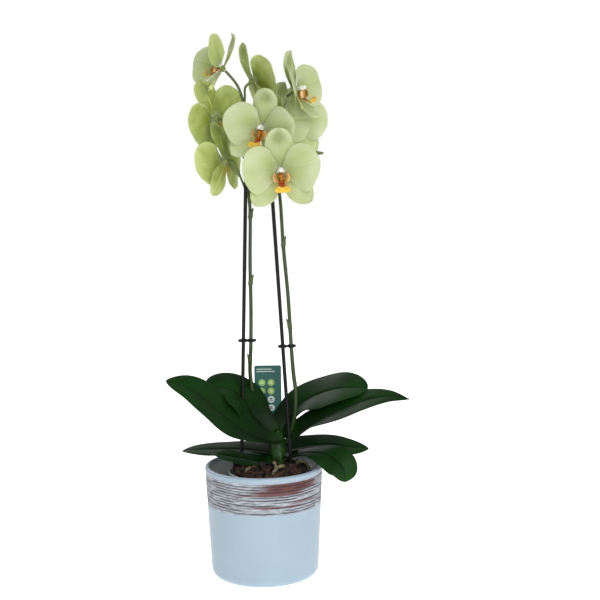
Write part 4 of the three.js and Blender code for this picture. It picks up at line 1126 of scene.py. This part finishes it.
def leaf_leather(colours):
    """The leaves, thick and leathery with a waxy skin: deep green with a soft sheen, with painted shade that
    darkens them towards the base and in the midrib's crease, faint parallel veins, cloudy mottling and
    lighter undersides."""
    material, tree, place, uv, front, along = opened("leathery_leaf", "place", "uv", "front", "along")
    across = add(tree, "SeparateXYZ", {"Vector": uv}, "Y")
    distance = add(tree, "Math", {0: across}, operation="ABSOLUTE")
    cloud = add(tree, "TexNoise", {"Vector": place, "Scale": 1 / 0.03, "Detail": 4.0})
    veins = add(tree, "TexWave", {
        "Vector": uv, "Scale": WAVE / 0.0021, "Distortion": 1.5, "Detail Scale": 0.4,
    }, "Fac", bands_direction="Y")
    upper = layered(tree, colours.leaf, (cloud, colours.leaf_light, 0.3, 0.75))
    # Painted shade darkens the midrib's crease from 2.2 mm to 0.4 mm off the middle, and the leaf towards its
    # base.
    face = layered(
        tree, colours.leaf_back, (front, upper), (distance, colours.leaf_painted_shade, 0.0004, 0.0022, 0.55, 0.0),
        (along, colours.leaf_painted_shade, 0.05, 0.85, 0.8, 0.0), (along, colours.crown, 0.0, 0.16, 0.25, 0.0))
    pores = add(tree, "TexNoise", {"Vector": place, "Scale": 1 / 0.0016, "Detail": 2.0})
    relief = add(tree, "Math", {0: veins, 1: 0.35, 2: pores}, **MULTIPLY_ADD)
    gloss = add(tree, "MapRange", {"Value": cloud, "To Min": 0.42, "To Max": 0.6})
    return finished(material, face, {"Roughness": gloss, "Specular IOR Level": 0.13}, (relief, 0.12, 0.0004))


def stem_skin(colours):
    """The flower spikes, a smooth waxy stem: dark olive green, clouded with brown where it is old and turning
    yellow-green towards the blooms."""
    material, tree, place, young = opened("waxy_flower_stem", "place", "young")
    drawn = add(tree, "Mapping", {"Vector": place, "Scale": [1.0, 1.0, 0.15]})
    cloud = add(tree, "TexNoise", {"Vector": drawn, "Scale": 1 / 0.004, "Detail": 4.0})
    face = layered(tree, colours.spike, (cloud, colours.spike_brown, 0.48, 0.7, 0, 0.7),
                   (young, colours.spike_young, 0.25))
    return finished(material, face, {"Roughness": 0.42}, (cloud, 0.15, 0.0004))


def crown_skin(colours):
    """The crown, layers of clasping leaf bases: deep green streaked lengthwise with fresh green."""
    material, tree, place = opened("clasping_leaf_bases", "place")
    drawn = add(tree, "Mapping", {"Vector": place, "Scale": [1.0, 1.0, 0.12]})
    streak = add(tree, "TexNoise", {"Vector": drawn, "Scale": 1 / 0.0025, "Detail": 3.0})
    face = layered(tree, colours.leaf, (streak, colours.crown, 0.4, 0.7))
    return finished(material, face, {"Roughness": 0.5}, (streak, 0.3, 0.0006))


def bark_chips(colours):
    """Damp pine bark: each chip its own red-brown to nearly black, flaky and rough."""
    material, tree, place, shade = opened("pine_bark", "place", "shade")
    flake = add(tree, "TexNoise", {"Vector": place, "Scale": 1 / 0.004, "Detail": 6.0})
    mixed = add(tree, "Math", {0: flake, 1: 0.8, 2: shade}, **MULTIPLY_ADD)
    tone = add(tree, "MapRange", {"Value": mixed, "From Min": 0.35, "From Max": 1.5})
    face = add(tree, "ValToRGB", {"Fac": tone}, stops=[
        (0.0, colours.bark_dark), (0.45, colours.bark), (0.85, colours.bark_light)])
    return finished(material, face, {"Roughness": 0.85}, (flake, 0.8, 0.0012))


def root_velamen(colours):
    """Aerial roots in velamen, a dry spongy coat: silvery beige with green showing through, finely
    wrinkled."""
    material, tree, uv, tip = opened("root_velamen", "uv", "tip")
    wrinkle = add(tree, "TexNoise", {"Vector": uv, "Scale": 1 / 0.003, "Detail": 5.0})
    face = layered(tree, colours.root_green, (wrinkle, colours.root, 0.4, 0.65),
                   (tip, colours.bark, 0.7, 1.0, 0, 0.6))
    return finished(material, face, {"Roughness": 0.7}, (wrinkle, 0.5, 0.0006))


def satin_glaze(colours):
    """Stoneware under a satin glaze: an even pale blue-white; in the combed band the glaze is rubbed back
    to a greyish white, streaked along the comb, with violet-brown stain left in the lines and rust-red
    patches."""
    material, tree, place, uv, groove, band, wash, inside = opened(
        "satin_glazed_stoneware", "place", "uv", "groove", "band", "wash", "inside")
    cloud = add(tree, "TexNoise", {"Vector": place, "Scale": 1 / 0.04, "Detail": 2.0})
    # Streaks run round the pot: about 11 mm long and 0.7 mm high.
    drawn = add(tree, "Mapping", {"Vector": uv, "Scale": [1 / 0.011, 1 / 0.0007, 1.0]})
    streak = add(tree, "TexNoise", {"Vector": drawn, "Scale": 1.0, "Detail": 4.0})
    rust = add(tree, "Math", {0: streak, 1: 2.2, 2: wash}, **MULTIPLY_ADD)
    stain = add(tree, "MapRange", {
        "Value": streak, "From Min": 0.3, "From Max": 0.45, "To Min": 0.8, "To Max": 0.95})
    stain = add(tree, "Math", {0: stain, 1: groove}, **MULTIPLY)
    comb = layered(
        tree, colours.band_grey, (streak, colours.band_white, 0.42, 0.58),
        (rust, colours.band_rust, 1.4, 2.05, 0, 0.96), (stain, colours.band_line))
    face = layered(
        # The inner wall below the rim is painted light: near white, to lift its shade.
        tree, colours.glaze_shade, (cloud, colours.glaze), (band, comb), (inside, colours.pot_inside_painted_light))
    rough = add(tree, "MapRange", {"Value": band, "To Min": 0.42, "To Max": 0.7})
    scratch = add(tree, "Math", {0: streak, 1: band}, **MULTIPLY)
    ripple = add(tree, "Math", {0: cloud, 1: 0.6, 2: scratch}, **MULTIPLY_ADD)
    return finished(material, face, {"Roughness": rough}, (ripple, 0.35, 0.0005))


def clear_plastic(colours):
    """Clear polypropylene, thermoformed: a cool, slightly hazy sheet that mostly shows what is behind it."""
    material, tree, place = opened("clear_polypropylene", "place")
    haze = add(tree, "TexNoise", {"Vector": place, "Scale": 1 / 0.006, "Detail": 3.0})
    rough = add(tree, "MapRange", {"Value": haze, "To Min": 0.15, "To Max": 0.4})
    return finished(material, colours.plastic, {"Roughness": rough, "IOR": 1.49, "Transmission Weight": 0.75},
                    (haze, 0.1, 0.0005))


def black_plastic(colours):
    """Stakes and clips, extruded and moulded polyethylene: nearly black with a low sheen and a fine drawn
    grain."""
    material, tree, place = opened("black_polyethylene", "place")
    drawn = add(tree, "Mapping", {"Vector": place, "Scale": [1.0, 1.0, 0.05]})
    grain = add(tree, "TexNoise", {"Vector": drawn, "Scale": 1 / 0.0008, "Detail": 3.0})
    face = layered(tree, colours.stake, (grain, colours.stake_grey))
    return finished(material, face, {"Roughness": 0.5, "Specular IOR Level": 0.25}, (grain, 0.25, 0.0003))


def printed_card(colours):
    """The label's card, printed polystyrene: teal with a satin face, greyer on the stem."""
    material, tree, place = opened("printed_polystyrene_card", "place")
    # It pales from 178.5 mm above the floor down to 168 mm.
    height = add(tree, "SeparateXYZ", {"Vector": place}, "Z")
    face = layered(tree, colours.label, (height, colours.label_pale, 0.168, 0.1785, 0.7, 0.0))
    grain = add(tree, "TexNoise", {"Vector": place, "Scale": 1 / 0.0009, "Detail": 2.0})
    return finished(material, face, {"Roughness": 0.45}, (grain, 0.08, 0.0003))


def label_ink(colours):
    """The label's print, screen ink a hair thick: leaf green discs, white ones and pale marks."""
    material, tree, place, tone = opened("screen_printed_ink", "place", "tone")
    face = add(tree, "ValToRGB", {"Fac": tone}, stops=[
        (0.0, colours.label), (0.35, colours.label_green), (0.65, colours.label_light),
        (0.95, colours.label_white)])
    face.node.color_ramp.interpolation = "CONSTANT"
    grain = add(tree, "TexNoise", {"Vector": place, "Scale": 1 / 0.0009})
    rough = add(tree, "MapRange", {"Value": grain, "To Min": 0.4, "To Max": 0.6})
    return finished(material, face, {"Roughness": rough})


# ---- the stage ----
# Lights: where they stand and what they look at, in metres, their width in metres, and their power in watts.
LIGHTS = {
    "key_softbox": {"at": (0.9, -1.85, 1.6), "to": (0, 0, 0.3), "width": 1.2, "power": 21},
    "back_softbox": {"at": (-0.9, 1.7, 1.5), "to": (0, 0, 0.5), "width": 1.2, "power": 14},
    "front_softbox": {"at": (0.4, -2.7, 0.7), "to": (0, 0, 0.3), "width": 2.2, "power": 23},
}
# The camera: its place in metres, its pitch and roll in degrees, its lens and sensor in millimetres.
CAMERA = {"at": (0.0446, -1.4, 0.479), "down": 6.47, "roll": 0.75, "lens": 73.8, "sensor": 36.0}


def lay_floor(colours):
    """A flat floor 8 m square at the height that the pot stands on, in matt white paper that glows a
    little."""
    mesh = bpy.data.meshes.new("studio_floor")
    mesh.from_pydata([(-4, -4, 0), (4, -4, 0), (4, 4, 0), (-4, 4, 0)], [], [(0, 1, 2, 3)])
    material, tree, place = opened("white_studio_paper", "place")
    tooth = add(tree, "TexNoise", {"Vector": place, "Scale": 1 / 0.002})
    mesh.materials.append(finished(
        material, colours.floor, {"Roughness": 0.9, "Emission Color": [1, 1, 1], "Emission Strength": 0.8},
        (tooth, 0.03, 0.001)))
    floor = bpy.data.objects.new("studio_floor", mesh)
    bpy.context.scene.collection.objects.link(floor)


def light_world(scene):
    """A white backdrop, which lights the scene softly."""
    world = bpy.data.worlds.new("studio_backdrop")
    world.use_nodes = True
    tree = world.node_tree
    tree.nodes.clear()
    seen = add(tree, "LightPath", out="Is Camera Ray")
    strength = add(tree, "MapRange", {"Value": seen, "To Min": 0.4, "To Max": 1.0})
    backdrop = add(tree, "Background", {"Color": [1, 1, 1], "Strength": strength})
    add(tree, "OutputWorld", {"Surface": backdrop})
    scene.world = world


def aim(thing, at, forward, up):
    """Places an object that looks along its own -Z, with its +Y up."""
    back = -unit(np.array(forward, float))
    right = unit(np.cross(up, back))
    rows = np.eye(4)
    rows[:3] = np.stack([right, np.cross(back, right), back, at], -1)
    thing.matrix_world = Matrix(rows.tolist())


def hang_light(name, light):
    """A square softbox that looks at its target."""
    data = bpy.data.lights.new(name, "AREA")
    data.size = light["width"]
    data.energy = light["power"]
    lamp = bpy.data.objects.new(name, data)
    bpy.context.scene.collection.objects.link(lamp)
    aim(lamp, light["at"], np.array(light["to"]) - light["at"], (0, 0, 1))


def place_camera(scene):
    """The photograph's camera: pitched down and turned a little about its own axis."""
    data = bpy.data.cameras.new("photo_camera")
    data.lens, data.sensor_width = CAMERA["lens"], CAMERA["sensor"]
    camera = bpy.data.objects.new("photo_camera", data)
    scene.collection.objects.link(camera)
    down, roll = math.radians(CAMERA["down"]), math.radians(CAMERA["roll"])
    forward = np.array([0, math.cos(down), -math.sin(down)])
    level_up = np.array([0, math.sin(down), math.cos(down)])
    aim(camera, CAMERA["at"], forward, level_up * math.cos(roll) + np.array([1, 0, 0]) * math.sin(roll))
    scene.camera = camera


# ---- what a user would change ----
def colour(name, description, hex_colour):
    """A colour property."""
    return bpy.props.FloatVectorProperty(
        name=name, description=description, default=linear(hex_colour), subtype="COLOR", size=3, min=0, max=1)


def length(name, description, default, low, high):
    """A length property, from millimetres."""
    return bpy.props.FloatProperty(
        name=name, description=description, default=default * MM, min=low * MM, max=high * MM, unit="LENGTH")


class OrchidSizes(bpy.types.PropertyGroup):
    """Sizes that can change without leaving the solid model's shape."""
    comb_pitch: length("Comb pitch", "From one combed line to the next", COMB["pitch"], 1, 10)
    comb_depth: length("Comb depth", "How deep the comb cut the pot's wall", COMB["depth"], 0, 1)
    chips: bpy.props.IntProperty(
        name="Bark chips", description="How many chips are strewn on the bark", default=HEAP["chips"],
        min=0, max=900)
    root_radius: length("Root radius", "Radius of the roots over the bark", ROOT_RADIUS, 1, 4)
    leaf_thickness: length("Leaf thickness", "Thickness of a leaf at its middle", LEAF_THICKNESS, 0.5, 3)
    tepal_thickness: length("Petal thickness", "Thickness of a petal near its base", TEPAL_THICKNESS, 0.3, 2)
    ruffle: length("Petal ruffle", "How far the petals' margins wave", RUFFLE, 0, 3)


class OrchidColours(bpy.types.PropertyGroup):
    """The colours of the plant, the pot and the label."""
    petal: colour("Petal", "Front of the petals", "#c4d08e")
    petal_light: colour("Petal, light", "Pale clouds on the petals", "#d6dcb9")
    petal_green: colour("Petal, green", "Veins and base of the petals", "#87954a")
    petal_back: colour("Petal back", "Backs of the petals near their margins", "#d6e09c")
    # Partly the backs' own olive, partly painted shade.
    petal_back_olive_and_shade: colour("Petal back, deep", "Middle of the petals' backs", "#99a640")
    lip_red: colour("Lip, red", "Throat of the lip", "#a3400c")
    lip_yellow: colour("Lip, yellow", "Bar at the end of the lip", "#d0aa12")
    lip_amber: colour("Lip, amber", "Stripes and callus", "#b8761a")
    lip_white: colour("Lip, white", "Base and rim of the lip", "#d9cf9c")
    column: colour("Column", "Column and its cap", "#e2e2d4")
    leaf: colour("Leaf", "Upper face of the leaves", "#0a2c06")
    leaf_light: colour("Leaf, light", "Clouds on the leaves", "#143f0e")
    # Painted shade for the leaves' creases and bases.
    leaf_painted_shade: colour("Leaf, dark", "Creases of the leaves", "#020d02")
    leaf_back: colour("Leaf back", "Lower face of the leaves", "#1e3a17")
    crown: colour("Crown", "Clasping leaf bases", "#2f6012")
    spike: colour("Spike", "The flower spikes", "#2b3f16")
    spike_brown: colour("Spike, brown", "Brown clouds on the spikes", "#1d2210")
    spike_young: colour("Spike, young", "Stalks near the blooms", "#66753a")
    bark: colour("Bark", "Middle tone of the bark", "#2a1a0d")
    bark_dark: colour("Bark, dark", "Darkest bark", "#0e0906")
    bark_light: colour("Bark, light", "Lightest bark", "#553826")
    root: colour("Root", "Dry coat of the roots", "#a3957a")
    root_green: colour("Root, green", "Green in the roots", "#56582f")
    glaze: colour("Glaze", "The pot's glaze", "#a0b3c1")
    glaze_shade: colour("Glaze, deep", "Where the glaze lies thicker", "#93a6b4")
    band_white: colour("Band, white", "Ridges of the combed band", "#b8bfc5")
    band_grey: colour("Band, grey", "Rubbed parts of the combed band", "#757783")
    band_line: colour("Band, line", "Stain in the combed lines", "#1b121a")
    band_rust: colour("Band, rust", "Rust-red patches in the band", "#5e251d")
    # Painted light: near white, to lift the inner wall's shade.
    pot_inside_painted_light: colour("Pot inside", "Inner wall of the pot", "#f2f6f4")
    plastic: colour("Clear plastic", "The nursery pot", "#dfe6e6")
    stake: colour("Stake", "Stakes and clips", "#050506")
    stake_grey: colour("Stake, worn", "Grain of the stakes", "#0c0d0f")
    label: colour("Label", "The care label's card", "#03524a")
    label_pale: colour("Label, pale", "The label's lower end", "#6f9079")
    label_green: colour("Label, green", "Discs on the label", "#86b35c")
    label_light: colour("Label, light", "Marks on the discs", "#c9dba0")
    label_white: colour("Label, white", "White print on the label", "#cfdcd6")
    floor: colour("Floor", "The studio floor", "#f4f4f2")


# ---- operators ----
class ORCHID_OT_cover_pot(bpy.types.Operator):
    """Builds the glazed cover pot with its combed band"""
    bl_idname = "orchid.cover_pot"
    bl_label = "Cover Pot"

    def execute(self, context):
        cover_pot(context.scene.orchid_sizes, satin_glaze(context.scene.orchid_colours))
        return {"FINISHED"}


class ORCHID_OT_nursery_pot(bpy.types.Operator):
    """Builds the clear pot inside the cover pot"""
    bl_idname = "orchid.nursery_pot"
    bl_label = "Nursery Pot"

    def execute(self, context):
        nursery_pot(clear_plastic(context.scene.orchid_colours))
        return {"FINISHED"}


class ORCHID_OT_bark(bpy.types.Operator):
    """Builds the potting bark and its chips"""
    bl_idname = "orchid.bark"
    bl_label = "Bark"

    def execute(self, context):
        bark(context.scene.orchid_sizes, bark_chips(context.scene.orchid_colours))
        return {"FINISHED"}


class ORCHID_OT_roots(bpy.types.Operator):
    """Builds the aerial roots that arch over the bark"""
    bl_idname = "orchid.roots"
    bl_label = "Roots"

    def execute(self, context):
        roots(context.scene.orchid_sizes, root_velamen(context.scene.orchid_colours))
        return {"FINISHED"}


class ORCHID_OT_crown(bpy.types.Operator):
    """Builds the crown that the leaves grow from"""
    bl_idname = "orchid.crown"
    bl_label = "Crown"

    def execute(self, context):
        crown(crown_skin(context.scene.orchid_colours))
        return {"FINISHED"}


class ORCHID_OT_leaves(bpy.types.Operator):
    """Builds the strap leaves"""
    bl_idname = "orchid.leaves"
    bl_label = "Leaves"

    def execute(self, context):
        leather = leaf_leather(context.scene.orchid_colours)
        for number, name in enumerate(LEAVES):
            leaf(name, number, context.scene.orchid_sizes, leather)
        return {"FINISHED"}


class ORCHID_OT_spikes(bpy.types.Operator):
    """Builds the flower spikes with their stalks and bracts"""
    bl_idname = "orchid.spikes"
    bl_label = "Flower Spikes"

    def execute(self, context):
        skin = stem_skin(context.scene.orchid_colours)
        for name in SPIKES:
            spike(name, skin)
        return {"FINISHED"}


class ORCHID_OT_supports(bpy.types.Operator):
    """Builds the stakes and the clips that hold the spikes to them"""
    bl_idname = "orchid.supports"
    bl_label = "Stakes and Clips"

    def execute(self, context):
        plastic = black_plastic(context.scene.orchid_colours)
        for name in STAKES:
            stake(name, plastic)
        for name in CLIPS:
            clip(name, plastic)
        return {"FINISHED"}


class ORCHID_OT_care_label(bpy.types.Operator):
    """Builds the care label and its print"""
    bl_idname = "orchid.care_label"
    bl_label = "Care Label"

    def execute(self, context):
        colours = context.scene.orchid_colours
        care_card(printed_card(colours))
        care_print(label_ink(colours))
        return {"FINISHED"}


class ORCHID_OT_blooms(bpy.types.Operator):
    """Builds the open blooms: tepals, lip and column"""
    bl_idname = "orchid.blooms"
    bl_label = "Blooms"

    def execute(self, context):
        colours = context.scene.orchid_colours
        tissue, waxy, ivory = petal_tissue(colours), lip_tissue(colours), column_tissue(colours)
        for name in BLOOMS:
            tepals(name, context.scene.orchid_sizes, tissue)
            lip(name, waxy)
            column(name, ivory)
        return {"FINISHED"}


class ORCHID_OT_stage(bpy.types.Operator):
    """Sets up the floor, the light and the camera"""
    bl_idname = "orchid.stage"
    bl_label = "Stage"

    def execute(self, context):
        scene = context.scene
        scene.view_settings.view_transform = "Standard"
        lay_floor(scene.orchid_colours)
        light_world(scene)
        for name, light in LIGHTS.items():
            hang_light(name, light)
        place_camera(scene)
        return {"FINISHED"}


class ORCHID_PT_builder(bpy.types.Panel):
    """The orchid's builders, sizes and colours in the sidebar"""
    bl_label = "Potted Orchid"
    bl_idname = "ORCHID_PT_builder"
    bl_space_type = "VIEW_3D"
    bl_region_type = "UI"
    bl_category = "Orchid"

    def draw(self, context):
        layout = self.layout
        for operator in OPERATORS:
            layout.operator(operator.bl_idname)
        for group in (context.scene.orchid_sizes, context.scene.orchid_colours):
            box = layout.box()
            for name in type(group).__annotations__:
                box.prop(group, name)


OPERATORS = (
    ORCHID_OT_cover_pot, ORCHID_OT_nursery_pot, ORCHID_OT_bark, ORCHID_OT_roots, ORCHID_OT_crown,
    ORCHID_OT_leaves, ORCHID_OT_spikes, ORCHID_OT_supports, ORCHID_OT_care_label, ORCHID_OT_blooms,
    ORCHID_OT_stage,
)
CLASSES = (OrchidSizes, OrchidColours, *OPERATORS, ORCHID_PT_builder)


def register():
    for made in CLASSES:
        bpy.utils.register_class(made)
    bpy.types.Scene.orchid_sizes = bpy.props.PointerProperty(type=OrchidSizes)
    bpy.types.Scene.orchid_colours = bpy.props.PointerProperty(type=OrchidColours)


def unregister():
    del bpy.types.Scene.orchid_colours
    del bpy.types.Scene.orchid_sizes
    for made in reversed(CLASSES):
        bpy.utils.unregister_class(made)


def main():
    register()
    for operator in OPERATORS:
        group, name = operator.bl_idname.split(".")
        getattr(getattr(bpy.ops, group), name)()


if __name__ == "__main__":
    main()
